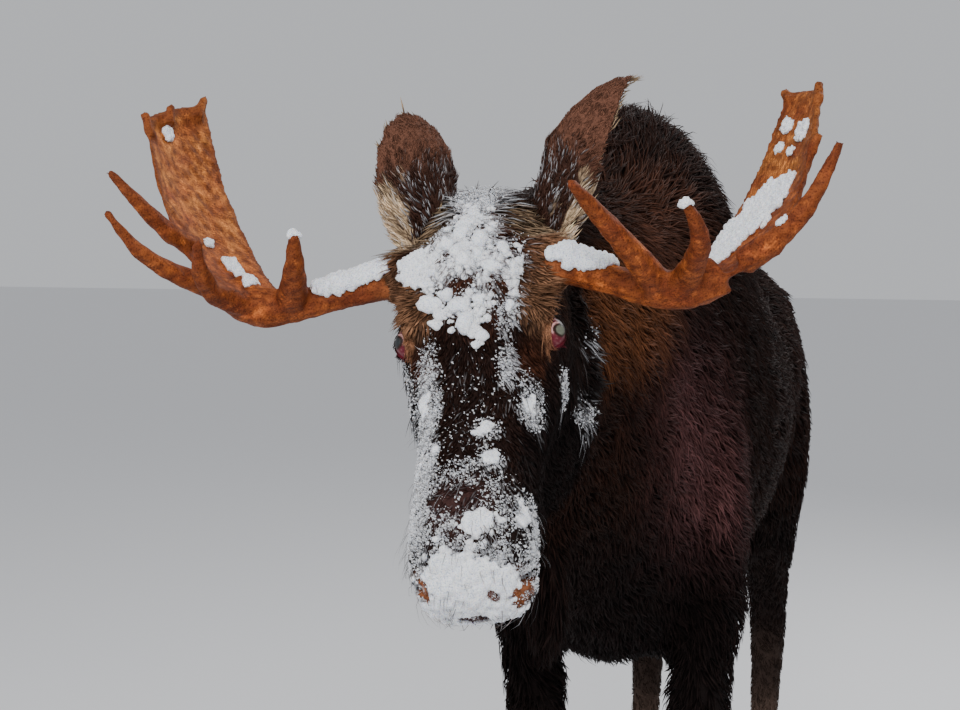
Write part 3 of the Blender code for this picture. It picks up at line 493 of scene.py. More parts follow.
def snow_material():
    made, tree, shader = material("snow", 0.75, 0.35)
    shader.inputs["Subsurface Weight"].default_value = 0.25
    shader.inputs["Subsurface Radius"].default_value = (0.006, 0.008, 0.012)
    shader.inputs["Subsurface Scale"].default_value = 1.0
    grains = noise_node(tree, object_place(tree), 520.0, 6.0)
    # The grain is painted blue-grey in its pits, as shade, and white on its tops.
    stops = [(0.3, (0.42, 0.46, 0.58)), (0.44, (0.78, 0.81, 0.88)), (0.58, (0.93, 0.94, 0.97))]
    colour = ramp_node(tree, grains, stops)
    tree.links.new(colour, shader.inputs["Base Color"])
    bump_node(tree, shader, grains, 0.004, 0.9)
    return made


# ---- the head's features

# Sizes and places in the head's frame. The slit between the lids slopes down to its inner corner.
EYE_BALL = 0.0232
EYE_SIDE = 0.091
SLIT_WAY = np.array((1.0, 0.0, -0.42))
EYE_LOOKS = (0.2, 0.8, 0.56)
EYE_GAZE = (0.27, 0.8, 0.54)
CORNEA_BULGE = 0.035
FISSURE_HALF_LENGTH = 0.0205
FISSURE_HALF_HEIGHT = 0.013
LID_THICKNESS = 0.0024
LID_CREASE = 0.0016
TEAR_DUCT_DEPTH = 0.0035
NOSTRIL = (0.572, 0.06, -0.066)
NOSTRIL_DEPTH = 0.017
NOSTRIL_RIM = 0.0022
FACE_END = 0.7
MOUTH_START = 0.445
MOUTH_LEVEL = -0.128
MOUTH_DEPTH = 0.007
PEDICLE_RISE = 0.026

# The pupil's half sizes, along the slit and across it.
PUPIL = (0.0064, 0.008)
# Reflections painted into the pupils: grey-green in the left eye, faint and bluish in the right.
PUPIL_SHINE = {1: np.array((0.12, 0.125, 0.095)), -1: np.array((0.022, 0.026, 0.028))}
DARK_WHITE = np.array((0.03, 0.014, 0.012))
# Pink of bare flesh, also used for a highlight painted on the eyeball.
PINK_FLESH_AND_HIGHLIGHT = np.array((0.66, 0.34, 0.32))
HAW_RED = np.array((0.105, 0.009, 0.019))

# Where each antler leaves the head, and a point inside the skull below it.
ANTLER_ROOTS = {
    "left": ((0.128, 0.098, -0.01), (0.12, 0.045, -0.03)),
    "right": ((0.11, -0.103, -0.037), (0.112, -0.045, -0.035)),
}


def eye_axes(side):
    """Centre of an eye, and the way it looks, along its slit and across its slit, in the head."""
    centre = np.array((EYES_MIDDLE[0], side * EYE_SIDE, EYES_MIDDLE[2]))
    look = unit(np.array((EYE_LOOKS[0], side * EYE_LOOKS[1], EYE_LOOKS[2])))
    slit = unit(SLIT_WAY - look * (SLIT_WAY @ look))
    return centre, look, slit, np.cross(slit, look) * side


def slit_distance(local, side):
    """Rough distance outside (+) or inside (-) the almond between the lids, and its parts."""
    centre, look, slit, over = eye_axes(side)
    offset = local - centre
    along = offset @ slit
    across = offset @ over
    forward = offset @ look
    share = np.clip(np.abs(along) / FISSURE_HALF_LENGTH, 0, 1)
    height = FISSURE_HALF_HEIGHT * (1 - share ** 2.2)
    beyond = np.maximum(np.abs(along) - FISSURE_HALF_LENGTH, 0)
    gap = np.hypot(beyond, np.maximum(np.abs(across) - height, 0))
    inside = np.abs(across) - height
    distance = np.where((inside < 0) & (beyond == 0), inside, gap)
    return distance, forward, offset, along, across


def shape_eye(local, side):
    """Seats the ball between thick, creased lids that slope at the inner corner."""
    distance, forward, offset, _along, across = slit_distance(local, side)
    radius = np.linalg.norm(offset, axis=1)
    facing = (forward > 0.002) & (radius < 0.06)
    lid = EYE_BALL + LID_THICKNESS + 0.002 * soft(across, 0.0, 0.01)
    lid = lid - LID_CREASE * soft(np.abs(distance - 0.0085), 0.0022, 0.0)
    blend = soft(distance, 0.018, 0.005)
    wanted = radius * (1 - blend) + lid * blend
    inner = soft(distance, 0.0004, -0.0012)
    wanted = wanted * (1 - inner) + (EYE_BALL - 0.0035) * inner
    scale = np.where(facing, wanted / np.maximum(radius, 1e-6), 1.0)
    centre = local - offset
    return centre + offset * scale[:, None]


def shape_nostril(local, side):
    """A slanted comma-shaped hollow with a raised rim."""
    centre = np.array((NOSTRIL[0], side * NOSTRIL[1], NOSTRIL[2]))
    offset = local - centre
    long_axis = unit(np.array((0.72, -side * 0.1, 0.62)))
    out = unit(np.array((0.5, side * 0.82, 0.25)))
    wide_axis = np.cross(long_axis, out)
    along = offset @ long_axis
    across = offset @ wide_axis - 0.006 * (along / 0.02) ** 2
    reach = np.hypot(along / 0.023, across / 0.0105)
    deep = soft(reach, 1.0, 0.45) * (offset @ out > -0.03)
    rim = soft(np.abs(reach - 1.25), 0.35, 0.0) * (offset @ out > -0.03)
    return local - out * (NOSTRIL_DEPTH * deep - NOSTRIL_RIM * rim)[:, None]


def shape_mouth(local):
    """The lips meet in a groove below the overhanging nose."""
    level = MOUTH_LEVEL + 0.016 * soft(local[:, 0], 0.53, 0.6)
    groove = soft(np.abs(local[:, 2] - level), 0.0065, 0.0)
    groove = groove * soft(local[:, 0], MOUTH_START - 0.02, MOUTH_START + 0.03)
    inward = unit(np.stack([local[:, 0] - 0.5, local[:, 1] * 1.4, local[:, 2] * 0], axis=1))
    return local - inward * (MOUTH_DEPTH * groove)[:, None]


def shape_tear_duct(local, side):
    """A shallow dark pit runs down the face from the inner corner of the eye."""
    centre, look, slit, _over = eye_axes(side)
    start = centre + look * EYE_BALL + slit * 0.03
    offset = local - start
    along = offset @ slit
    sideways = offset - along[:, None] * slit - (offset @ look)[:, None] * look
    across = np.linalg.norm(sideways, axis=1)
    dip = soft(across, 0.008, 0.0) * soft(np.abs(along), 0.02, 0.004)
    return local - look * (TEAR_DUCT_DEPTH * dip)[:, None]


def shape_pedicle(local, name):
    """Skin and fur rise in a collar round the root of an antler."""
    root, inward = np.array(ANTLER_ROOTS[name])
    axis = unit(root - inward)
    offset = local - root
    along = offset @ axis
    off_axis = np.linalg.norm(offset - along[:, None] * axis, axis=1)
    rise = PEDICLE_RISE * soft(off_axis, 0.05, 0.018) * soft(along, -0.06, -0.02)
    return local + axis * rise[:, None]


def shape_head(points):
    local = to_head(points)
    chosen = (local[:, 0] > -0.02) & (local[:, 0] < FACE_END)
    chosen &= (np.abs(local[:, 1]) < 0.17) & (local[:, 2] > -0.34)
    part = local[chosen]
    for side in (1, -1):
        part = shape_eye(part, side)
        part = shape_nostril(part, side)
        part = shape_tear_duct(part, side)
    for name in ANTLER_ROOTS:
        part = shape_pedicle(part, name)
    part = shape_mouth(part)
    local[chosen] = part
    return from_head(local)


def on_face(points):
    local = to_head(points)
    face = (local[:, 0] > 0.0) & (np.abs(local[:, 1]) < 0.16) & (local[:, 2] > -0.26)
    return face & (local[:, 0] < FACE_END)


def on_muzzle(points):
    local = to_head(points)
    muzzle = (local[:, 0] > 0.47) & (local[:, 2] > -0.19)
    return (muzzle | by_the_eyes(points, 0.05)) & (local[:, 0] < FACE_END)


def by_the_eyes(points, reach=0.034):
    local = to_head(points)
    close = np.zeros(len(points), dtype=bool)
    for side in (1, -1):
        centre, look, _slit, _over = eye_axes(side)
        close |= np.linalg.norm(local - centre - look * 0.012, axis=1) < reach
    return close


def by_the_nostrils(points):
    local = to_head(points)
    close = np.linalg.norm(folded(local) - np.array(NOSTRIL), axis=1) < 0.036
    return close | by_the_eyes(points)


# ---- fields over the skin

class Fields:
    """What the coat does at each vertex of a skin mesh."""

    def __init__(self, mesh, regions):
        self.points = points_of(mesh)
        self.normals = normals_of(mesh)
        self.edges = edges_of(mesh)
        self.triangles = triangles_of(mesh)
        self.regions = regions
        self.local = to_head(self.points)
        table = [COAT[region] for region in REGIONS]
        numbers = np.array([row[:5] for row in table])
        ways = np.array([row[5] for row in table], dtype=float)
        self.values = numbers[regions]
        self.flow = ways[regions]
        self.root = np.array([row[6] for row in table])[regions]
        self.tip = np.array([row[7] for row in table])[regions]
        self.frost = np.zeros(len(self.points))
        self.bare = np.zeros(len(self.points))

    def tree(self):
        return BVHTree.FromPolygons(self.points.tolist(), self.triangles.tolist())

    def spread(self, rounds):
        """Lets neighbouring regions run into one another."""
        for _round in range(rounds):
            for name in ("values", "flow", "root", "tip"):
                setattr(self, name, neighbour_mean(getattr(self, name), self.edges))

    def set_values(self, share, *wanted):
        """Moves length, width, depth, spacing and waviness, as many as are given, by a share."""
        for column, value in enumerate(wanted):
            old = self.values[:, column]
            self.values[:, column] = old * (1 - share) + value * share

    def tone(self, share, root, tip):
        self.root = mix(self.root, root, share)
        self.tip = mix(self.tip, tip, share)

    def lie_flat(self):
        """Keeps the lie of the coat along the skin."""
        self.flow = unit(laid(self.flow, self.normals))


def head_flow(fields):
    """The face's hair parts at a whorl on the forehead and runs out from it, round the eyes."""
    local = fields.local
    whorl = np.array((0.085, 0.0, 0.035))
    flow = local - whorl
    flow[:, 1] *= 1.9
    flow[:, 1] += 9.0 * local[:, 1] * soft(local[:, 0], 0.13, 0.05)
    flow[:, 2] += 0.1 * soft(local[:, 0], 0.12, 0.02)
    flow[:, 0] += 0.2 * soft(local[:, 0], 0.42, 0.55)
    flow = unit(flow)
    for side in (1, -1):
        centre, look, _slit, _over = eye_axes(side)
        away = local - centre - look * EYE_BALL
        reach = np.linalg.norm(away, axis=1)
        away = unit(away)
        towards = np.minimum(np.sum(flow * away, axis=1), 0.0)
        flow = flow - away * (towards * soft(reach, 0.09, 0.045))[:, None]
    return unit(flow) @ HEAD_TURN.T


def lash_line(local, side):
    """1 along the edge of the upper lid, where the lashes grow."""
    distance, forward, _offset, _along, across = slit_distance(local, side)
    return soft(np.abs(distance - 0.0058), 0.003, 0.0012) * (across > 0.004) * (forward > 0.006)


def dress_head(fields):
    """Lengths of hair about the head: short on the nose, in tufts on the brows and poll."""
    local = fields.local
    on_head = fields.regions == REGIONS.index("head")
    fields.flow[on_head] = head_flow(fields)[on_head]
    both = folded(local)
    muzzle = soft(local[:, 0], 0.42, 0.54) * on_head
    fields.set_values(muzzle, 0.0085, 0.0019, 0.0024, 0.0043, 0.05)
    bridge = near(both, (0.4, 0.0, 0.0), (0.14, 0.07, 0.06)) * on_head
    fields.set_values(bridge * 0.8, 0.014, 0.0024, 0.0034, 0.0046)
    tufts = near(both, (0.045, 0.062, -0.005), (0.075, 0.065, 0.075))
    fields.set_values(tufts, 0.066, 0.003, 0.019, 0.005, 0.25)
    crown = near(both, (-0.01, 0.0, -0.02), (0.085, 0.075, 0.09))
    fields.set_values(crown, 0.04, 0.0026, 0.015, 0.0045, 0.4)
    brows = near(both, (0.185, 0.085, 0.004), (0.05, 0.038, 0.034))
    fields.set_values(brows, 0.027, 0.0022, 0.007, 0.0035, 0.15)
    for root, inward in ANTLER_ROOTS.values():
        collar = near(local, root, (0.055, 0.05, 0.05))
        fields.set_values(collar, 0.024, 0.0022, 0.005, 0.0035, 0.15)
        outward = unit(np.array(root) - np.array(inward)) @ HEAD_TURN.T
        fields.flow = mix(fields.flow, outward, collar * on_head)
    jowl = near(both, (0.16, 0.09, -0.2), (0.16, 0.08, 0.11)) * on_head
    fields.set_values(jowl, 0.042, 0.0042, 0.01, 0.0066, 0.25)
    throat = near(both, (0.14, 0.0, -0.3), (0.22, 0.1, 0.1)) * on_head
    fields.set_values(throat, 0.055, 0.0048, 0.016, 0.008, 0.3)
    chin = near(both, (0.5, 0.0, -0.165), (0.07, 0.05, 0.03)) * on_head
    fields.set_values(chin, 0.022, 0.0024, 0.005, 0.005, 0.2)
    cheek = near(local, (0.15, 0.128, -0.205), (0.11, 0.05, 0.14)) * on_head
    fields.set_values(cheek, 0.056, 0.003, 0.015, 0.0052, 0.25)
    for hand in (1, -1):
        distance, forward = slit_distance(local, hand)[:2]
        lids = soft(distance, 0.03, 0.016) * (forward > -0.012) * on_head
        fields.set_values(lids, 0.0075, 0.0014, 0.0018, 0.0027, 0.05)
        fields.set_values(lash_line(local, hand), 0.014, 0.0009, 0.0075, 0.0026, 0.05)


def colour_head(fields):
    """Dark face, tan brows and pedicles, grizzled tufts on the poll, and a russet muffle."""
    local = fields.local
    both = folded(local)
    on_head = (fields.regions == REGIONS.index("head")).astype(float)
    front = soft(local[:, 2], -0.1, -0.02) * on_head
    fields.tone(on_head * soft(local[:, 2], -0.04, -0.12) * 0.9, BLACK, SOOT)
    forehead = near(both, (0.14, 0.0, 0.02), (0.13, 0.11, 0.08)) * front
    fields.tone(forehead, SOOT, BROWN * 1.7)
    brows = near(both, (0.188, 0.086, -0.004), (0.064, 0.044, 0.046)) * on_head
    stroke = 0.72 + 0.28 * ripple(local, 0.01, 94)
    fields.tone(brows, BLACK, TAN * stroke[:, None])
    below = near(both, (0.262, 0.07, -0.03), (0.04, 0.034, 0.04)) * on_head
    fields.tone(below * 0.8, SOOT, RUSSET)
    for root, _inward in ANTLER_ROOTS.values():
        fields.tone(near(local, root, (0.055, 0.05, 0.055)), BROWN, TAN * 1.1)
    tufts = near(both, (0.05, 0.066, -0.004), (0.07, 0.062, 0.06))
    streak = np.clip(0.5 + 0.75 * ripple(local, 0.011, 91), 0.03, 1.0)
    fields.tone(tufts, BLACK, mix(GOLD, CREAM, streak) * 1.35 * streak[:, None])
    flank = soft(both[:, 1], 0.042, 0.066) * soft(local[:, 0], 0.25, 0.31) * on_head
    fields.tone(flank * 0.85, BLACK, SOOT)
    bridge = near(both, (0.4, 0.0, 0.0), (0.16, 0.07, 0.06)) * on_head
    fields.tone(bridge * 0.7, BLACK, UMBER)
    brown_nose = near(local, (0.508, -0.008, 0.005), (0.06, 0.06, 0.05)) * on_head
    fields.tone(brown_nose, UMBER, NOSE_BROWN)
    muffle = near(both, (0.59, 0.058, -0.07), (0.036, 0.034, 0.048)) * on_head
    fields.tone(muffle, RUSSET * 1.6, GOLD * 1.3)
    fields.tone(near(local, (0.597, 0.026, -0.062), (0.026, 0.022, 0.03)), RUSSET, PINK_FLESH_AND_HIGHLIGHT * 0.3)
    lip = near(both, (0.6, 0.0, -0.114), (0.04, 0.05, 0.026))
    fields.tone(lip, NOSE_BROWN * 1.6, NOSE_BROWN * 2.4)


def colour_body(fields):
    """Golden on the upper neck, a painted mauve sheen down the shoulder, near black below and
    behind.
    """
    points = fields.points
    low, high = [np.array(corner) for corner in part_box("neck")]
    reach = high - low
    fields.tone(near(points, (low + high) / 2, reach * 0.62) * 0.8, BLACK, BROWN * 0.7)
    for side in (0.195, -0.12):
        golden = near(points, (side, -0.72, 1.59), (0.21, 0.34, 0.15))
        fields.tone(golden, BROWN * 0.4, GOLD * 0.85)
    crest = soft(points[:, 2], 1.66, 1.8) * soft(points[:, 1], 0.62, 0.3)
    fields.tone(crest, BLACK, UMBER * 1.5)
    for side in (0.14, -0.07):
        nape = near(points, (side, -0.38, 1.7), (0.16, 0.32, 0.13))
        fields.tone(nape * 0.9, UMBER, BROWN * 1.9)
    chest = soft(points[:, 2], 1.34, 1.14) * soft(points[:, 1], -0.05, -0.25)
    fields.tone(chest * 0.8, BLACK, SOOT * 1.5)
    # A mauve sheen is painted down each shoulder: a wide faint patch and a bright narrow one.
    for side in (0.275, -0.205):
        for radii, share, root, tip in (
            ((0.19, 0.42, 0.24), 0.3, UMBER * 1.2, MAUVE_SHEEN * 1.3),
            ((0.12, 0.22, 0.145), 0.9, UMBER * 1.4, MAUVE_SHEEN * 2.1),
        ):
            for back, height in ((-0.5, 1.45), (-0.44, 1.34), (-0.4, 1.23)):
                fields.tone(near(points, (side, back, height), radii) * share, root, tip)
    upper_leg = soft(points[:, 2], 1.12, 0.92) * soft(points[:, 2], 0.34, 0.52)
    fields.tone(upper_leg * 0.8, BLACK, SOOT * 1.3)
    back_brown = soft(points[:, 1], 0.25, 0.75) * soft(points[:, 2], 1.05, 1.45)
    fields.tone(back_brown * 0.6, SOOT, UMBER * 1.5)
    fields.tone(soft(points[:, 1], 0.95, 1.25) * soft(points[:, 2], 1.0, 1.2) * 0.5, SOOT, BROWN)


# Snow on the face, all in the head's frame: crust, clods, frosted hair, and gaps without snow.
CRUST = (
    ((0.134, -0.074, 0.01), (0.036, 0.042, 0.05), 1.2),
    ((0.074, -0.004, 0.03), (0.026, 0.02, 0.045), 0.78),
    ((0.612, 0.0, -0.06), (0.062, 0.105, 0.085), 1.3),
    ((0.59, -0.016, -0.034), (0.042, 0.042, 0.048), 1.2),
    ((0.606, 0.0, -0.1), (0.044, 0.12, 0.044), 1.2),
    ((0.533, 0.018, 0.0), (0.02, 0.03, 0.03), 0.76),
    ((0.512, 0.068, -0.022), (0.022, 0.016, 0.03), 0.6),
    ((0.387, 0.018, -0.017), (0.015, 0.014, 0.03), 0.82),
    ((0.437, 0.029, -0.003), (0.012, 0.014, 0.03), 0.82),
    ((0.318, -0.066, -0.045), (0.03, 0.01, 0.03), 0.6),
    ((0.33, 0.066, -0.045), (0.024, 0.012, 0.03), 0.6),
)
LUMPS = (
    (0.19, -0.06, 0.013), (0.181, -0.034, 0.0115), (0.196, -0.018, 0.0135), (0.222, -0.012, 0.012),
    (0.193, 0.008, 0.0105), (0.238, 0.009, 0.01), (0.205, -0.046, 0.009), (0.216, -0.052, 0.0075),
    (0.158, 0.026, 0.01), (0.152, 0.05, 0.0085), (0.146, -0.01, 0.011), (0.16, -0.066, 0.009),
    (0.118, 0.012, 0.014), (0.13, 0.04, 0.0105), (0.102, -0.014, 0.012), (0.134, -0.018, 0.011),
    (0.208, 0.006, 0.007), (0.25, 0.004, 0.0065), (0.228, -0.03, 0.0065), (0.2, 0.046, 0.0075),
    (0.142, 0.01, 0.01), (0.12, -0.034, 0.01), (0.232, -0.002, 0.008),
)
CLODS = (
    ((0.145, -0.016, 0.015), (0.07, 0.084, 0.06), 1.0),
    ((0.2, -0.008, 0.005), (0.056, 0.06, 0.05), 0.75),
    ((0.15, 0.04, 0.01), (0.06, 0.034, 0.05), 0.8),
    ((0.085, 0.0, 0.03), (0.044, 0.046, 0.05), 0.6),
    ((0.022, 0.0, 0.02), (0.05, 0.05, 0.07), 0.58),
    ((0.238, 0.062, -0.005), (0.018, 0.014, 0.03), 0.7),
    ((0.575, -0.01, -0.03), (0.07, 0.08, 0.06), 0.32),
    ((0.53, 0.02, 0.0), (0.04, 0.06, 0.04), 0.28),
    ((0.44, -0.055, -0.015), (0.14, 0.026, 0.05), 0.24),
)
FROSTED = (
    ((0.13, 0.0, 0.02), (0.118, 0.086, 0.09), 0.82),
    ((0.205, 0.04, 0.0), (0.05, 0.028, 0.04), 0.9),
    ((0.005, 0.0, 0.01), (0.065, 0.052, 0.08), 0.8),
    ((0.05, 0.07, 0.0), (0.06, 0.04, 0.06), 0.12),
    ((0.05, -0.08, -0.01), (0.06, 0.04, 0.06), 0.14),
    ((0.34, -0.062, -0.035), (0.16, 0.032, 0.06), 0.74),
    ((0.275, 0.038, -0.025), (0.056, 0.018, 0.04), 0.76),
    ((0.325, 0.066, -0.055), (0.06, 0.026, 0.05), 0.66),
    ((0.36, 0.0, -0.02), (0.14, 0.07, 0.06), 0.14),
    ((0.27, -0.01, -0.015), (0.05, 0.04, 0.05), 0.12),
    ((0.3, -0.095, -0.09), (0.14, 0.03, 0.06), 0.4),
    ((0.52, 0.0, -0.02), (0.09, 0.11, 0.08), 0.62),
    ((0.458, -0.006, 0.0), (0.03, 0.066, 0.04), 0.48),
    ((0.47, -0.062, -0.024), (0.16, 0.04, 0.07), 0.9),
    ((0.53, 0.066, -0.04), (0.07, 0.03, 0.06), 0.8),
    ((0.6, 0.0, -0.06), (0.095, 0.145, 0.105), 1.1),
    ((0.122, 0.128, -0.185), (0.045, 0.03, 0.065), 0.72),
    ((0.182, 0.12, -0.25), (0.03, 0.04, 0.09), 0.86),
    ((0.25, 0.104, -0.13), (0.03, 0.032, 0.06), 0.5),
    ((0.387, 0.018, -0.017), (0.032, 0.028, 0.03), 0.6),
    ((0.437, 0.029, -0.003), (0.03, 0.028, 0.03), 0.6),
)
GAPS = (
    ((0.174, -0.02, 0.015), (0.015, 0.046, 0.03)),
    ((0.186, 0.034, 0.01), (0.03, 0.016, 0.03)),
    ((0.086, 0.046, 0.03), (0.046, 0.032, 0.05)),
    ((0.06, -0.04, 0.02), (0.034, 0.018, 0.04)),
    ((0.545, 0.062, -0.03), (0.018, 0.015, 0.03)),
    ((0.214, 0.024, 0.0), (0.024, 0.014, 0.03)),
    ((0.132, -0.03, 0.02), (0.01, 0.02, 0.03)),
    ((0.5, -0.01, 0.004), (0.03, 0.052, 0.03)),
    ((0.597, 0.026, -0.062), (0.018, 0.016, 0.024)),
    ((0.587, 0.058, -0.078), (0.032, 0.028, 0.04)),
    ((0.589, -0.056, -0.06), (0.026, 0.016, 0.03)),
    ((0.604, 0.0, -0.108), (0.034, 0.05, 0.022)),
)


def lay_snow(fields):
    """How thickly snow lies on the face, and how many of its hairs are frosted."""
    open_skin = np.ones(len(fields.local))
    for centre, radii in GAPS:
        open_skin = np.minimum(open_skin, 1 - near(fields.local, centre, radii))
    for name, patches in (("crust", CRUST), ("clods", CLODS), ("frost", FROSTED)):
        thick = np.zeros(len(fields.local))
        for centre, radii, strength in patches:
            thick = np.maximum(thick, strength * near(fields.local, centre, radii))
        share = open_skin if name != "frost" else 0.25 + 0.75 * open_skin
        setattr(fields, name, thick * share)
    strands = 0.3 + 0.7 * soft(ripple(fields.local, 0.02, 97), -0.2, 0.3)
    long_hair = soft(fields.values[:, 0], 0.042, 0.052)
    fields.frost = fields.frost * (1 - long_hair * (1 - strands))


def mark_bare(fields):
    """No hair between the lids, in the nostrils, on the lips or where antlers stand."""
    local = fields.local
    for side in (1, -1):
        distance = slit_distance(local, side)[0]
        close = np.linalg.norm(local - eye_axes(side)[0], axis=1) < 0.045
        fields.bare = np.maximum(fields.bare, soft(distance, 0.0065, 0.003) * close)
    fields.bare = np.maximum(fields.bare, near(folded(local), NOSTRIL, (0.03, 0.02, 0.022)))


def colour_lids(fields):
    """Black margins and red flesh at the inner corner."""
    for side in (1, -1):
        centre, look, slit, _over = eye_axes(side)
        distance, forward, _offset, _along, across = slit_distance(fields.local, side)
        close = (forward > 0) & (np.linalg.norm(fields.local - centre, axis=1) < 0.05)
        fields.tone(soft(distance, 0.011, 0.005) * close, SOOT, UMBER)
        inside = soft(across, -0.001, 0.004)
        fields.tone(soft(distance, 0.019, 0.01) * inside * close, RUSSET, TAN)
        fields.tone(soft(distance, 0.0046, 0.0024) * close, BLACK, BLACK)
        corner = centre + look * EYE_BALL + slit * (FISSURE_HALF_LENGTH - 0.002)
        haw = near(fields.local, corner, (0.027, 0.022, 0.022))
        fields.tone(haw, HAW_RED, HAW_RED * 1.1)


# ---- skin

def nearest_regions(points, nodes):
    """For each point, the region of the node of flesh that it lies closest to."""
    corners, faces, owners = [], [], []
    for node in nodes:
        mesh = NODES[node].data
        start = len(corners)
        corners += [vertex.co[:] for vertex in mesh.vertices]
        tris = triangles_of(mesh) + start
        faces += tris.tolist()
        owners += [REGIONS.index(region_of(node))] * len(tris)
    tree = BVHTree.FromPolygons(corners, faces)
    return np.array([owners[tree.find_nearest(point)[2]] for point in points.tolist()])


def skin_mesh():
    """The whole body under its coat, finest round the eyes and nostrils."""
    mesh = melted("skin", BODY_FLESH + ["eye_left", "eye_right"], SKIN_MELT)
    for chosen in (on_face, on_muzzle, by_the_nostrils):
        mesh = refined(mesh, chosen)
        points = points_of(mesh)
        softer = neighbour_mean(points, edges_of(mesh))
        flags = chosen(points)[:, None]
        set_points(mesh, np.where(flags, points * 0.5 + softer * 0.5, points))
    return mesh


def draw_in(mesh, fields):
    """Sets the skin below the tips of the coat; the feet meet their hooves unchanged."""
    depth = fields.values[:, 2]
    above_hoof = soft(fields.points[:, 2], 0.075, 0.11)
    set_points(mesh, fields.points - fields.normals * (depth * above_hoof)[:, None])


def body_skin():
    mesh = skin_mesh()
    fields = Fields(mesh, nearest_regions(points_of(mesh), BODY_FLESH))
    fields.spread(BLEND_ROUNDS)
    dress_head(fields)
    hump_centre = centre_of("trunk_shoulders") + np.array((0, -0.1, 0.45))
    hump = near(fields.points, hump_centre, (0.34, 0.42, 0.3))
    fields.set_values(hump, 0.084, 0.004, 0.058, 0.0084, 0.45)
    bristling = hump * soft(fields.points[:, 1], 0.3, 0.05)
    ways = fields.points * np.array((2.6, 0.0, 0.0)) + np.array((-0.08, 0.2, 0.7))
    fields.flow = mix(fields.flow, unit(ways), bristling * 0.85)
    for _round in range(3):
        fields.values = neighbour_mean(fields.values, fields.edges)
    draw_in(mesh, fields)
    fields.points = shape_head(points_of(mesh))
    set_points(mesh, fields.points)
    fields.normals = normals_of(mesh)
    fields.local = to_head(fields.points)
    colour_body(fields)
    colour_head(fields)
    colour_lids(fields)
    lay_snow(fields)
    mark_bare(fields)
    fields.lie_flat()
    return mesh, fields


def ear_frame(node):
    """Root and tip of an ear."""
    points = points_of(NODES[node].data)
    reach = np.linalg.norm(points - POLL, axis=1)
    tip = points[np.argmax(reach)]
    root = points[reach < np.percentile(reach, 12)].mean(axis=0)
    return root, tip


def ear_skin(node):
    """An ear, thinned by its coat and let into the head at its root."""
    mesh = melted(node, [node], EAR_MELT)
    points = points_of(mesh)
    root, tip = ear_frame(node)
    axis = unit(tip - root)
    fields = Fields(mesh, np.full(len(points), REGIONS.index("ear")))
    share = (points - root) @ axis / np.linalg.norm(tip - root)
    points = points - fields.normals * 0.0014
    points = points - axis * (0.02 * soft(share, 0.12, -0.02))[:, None]
    set_points(mesh, points)
    fields.points = points
    fields.normals = normals_of(mesh)
    fields.flow[:] = axis
    middle = root + axis * ((points - root) @ axis)[:, None]
    hollow = np.sum((middle - points) * fields.normals, axis=1) > 0
    base = soft(share + 0.1 * ripple(points, 0.02, 94), 0.5, 0.14)
    fields.tone(hollow * 0.9, UMBER, CREAM * 0.8)
    fields.set_values(hollow * 0.8, 0.026, 0.003, 0.006, 0.005, 0.2)
    fields.tone(base * 0.85 * ~hollow, SOOT, UMBER * 1.5)
    fields.set_values(base * 0.6, 0.02, 0.0022, 0.005, 0.004, 0.2)
    outer = np.sign(root[0] - POLL[0]) * fields.normals @ HEAD_TURN[:, 1]
    pale = soft(outer + 0.25 * ripple(points, 0.03, 93), 0.25, 0.65) * soft(share, 0.3, 0.16)
    fields.tone(pale, CREAM * 0.7, CREAM)
    fields.set_values(pale * 0.7, 0.028, 0.0026, 0.006, 0.0044, 0.2)
    patchy = 0.55 + 0.45 * ripple(points, 0.02, 92)
    fields.frost = soft(share, 0.5, 0.15) * 0.46 * patchy * ~hollow
    fields.lie_flat()
    return mesh, fields


# ---- locks of hair

# A lock's rings along its length and their widths, its cross-section, how deep its root is set in
# the skin, and its share of the chart.
LOCK_STATIONS = {2: (0.0, 0.5, 1.0), 3: (0.0, 0.34, 0.68, 1.0)}
LOCK_WIDTHS = {2: (0.85, 1.0), 3: (0.75, 1.0, 0.68)}
LOCK_SECTION = ((0.5, -0.12), (-0.5, -0.12), (0.0, 0.3))
ROOT_DEPTH = 0.0015
TUFT_PATCH = 0.003
LOCKS_PER_TUFT = 14
CHART_BINS = 14


class Spots:
    """Places on triangles, by the shares of their three corners."""

    def read(self, values):
        """A field's value at each place."""
        picked = values[self.corners]
        shares = self.shares if picked.ndim == 2 else self.shares[:, :, None]
        return np.sum(picked * shares, axis=1)


def twice_area(points, triangles):
    corners = points[triangles]
    cross = np.cross(corners[:, 1] - corners[:, 0], corners[:, 2] - corners[:, 0])
    return np.linalg.norm(cross, axis=1)


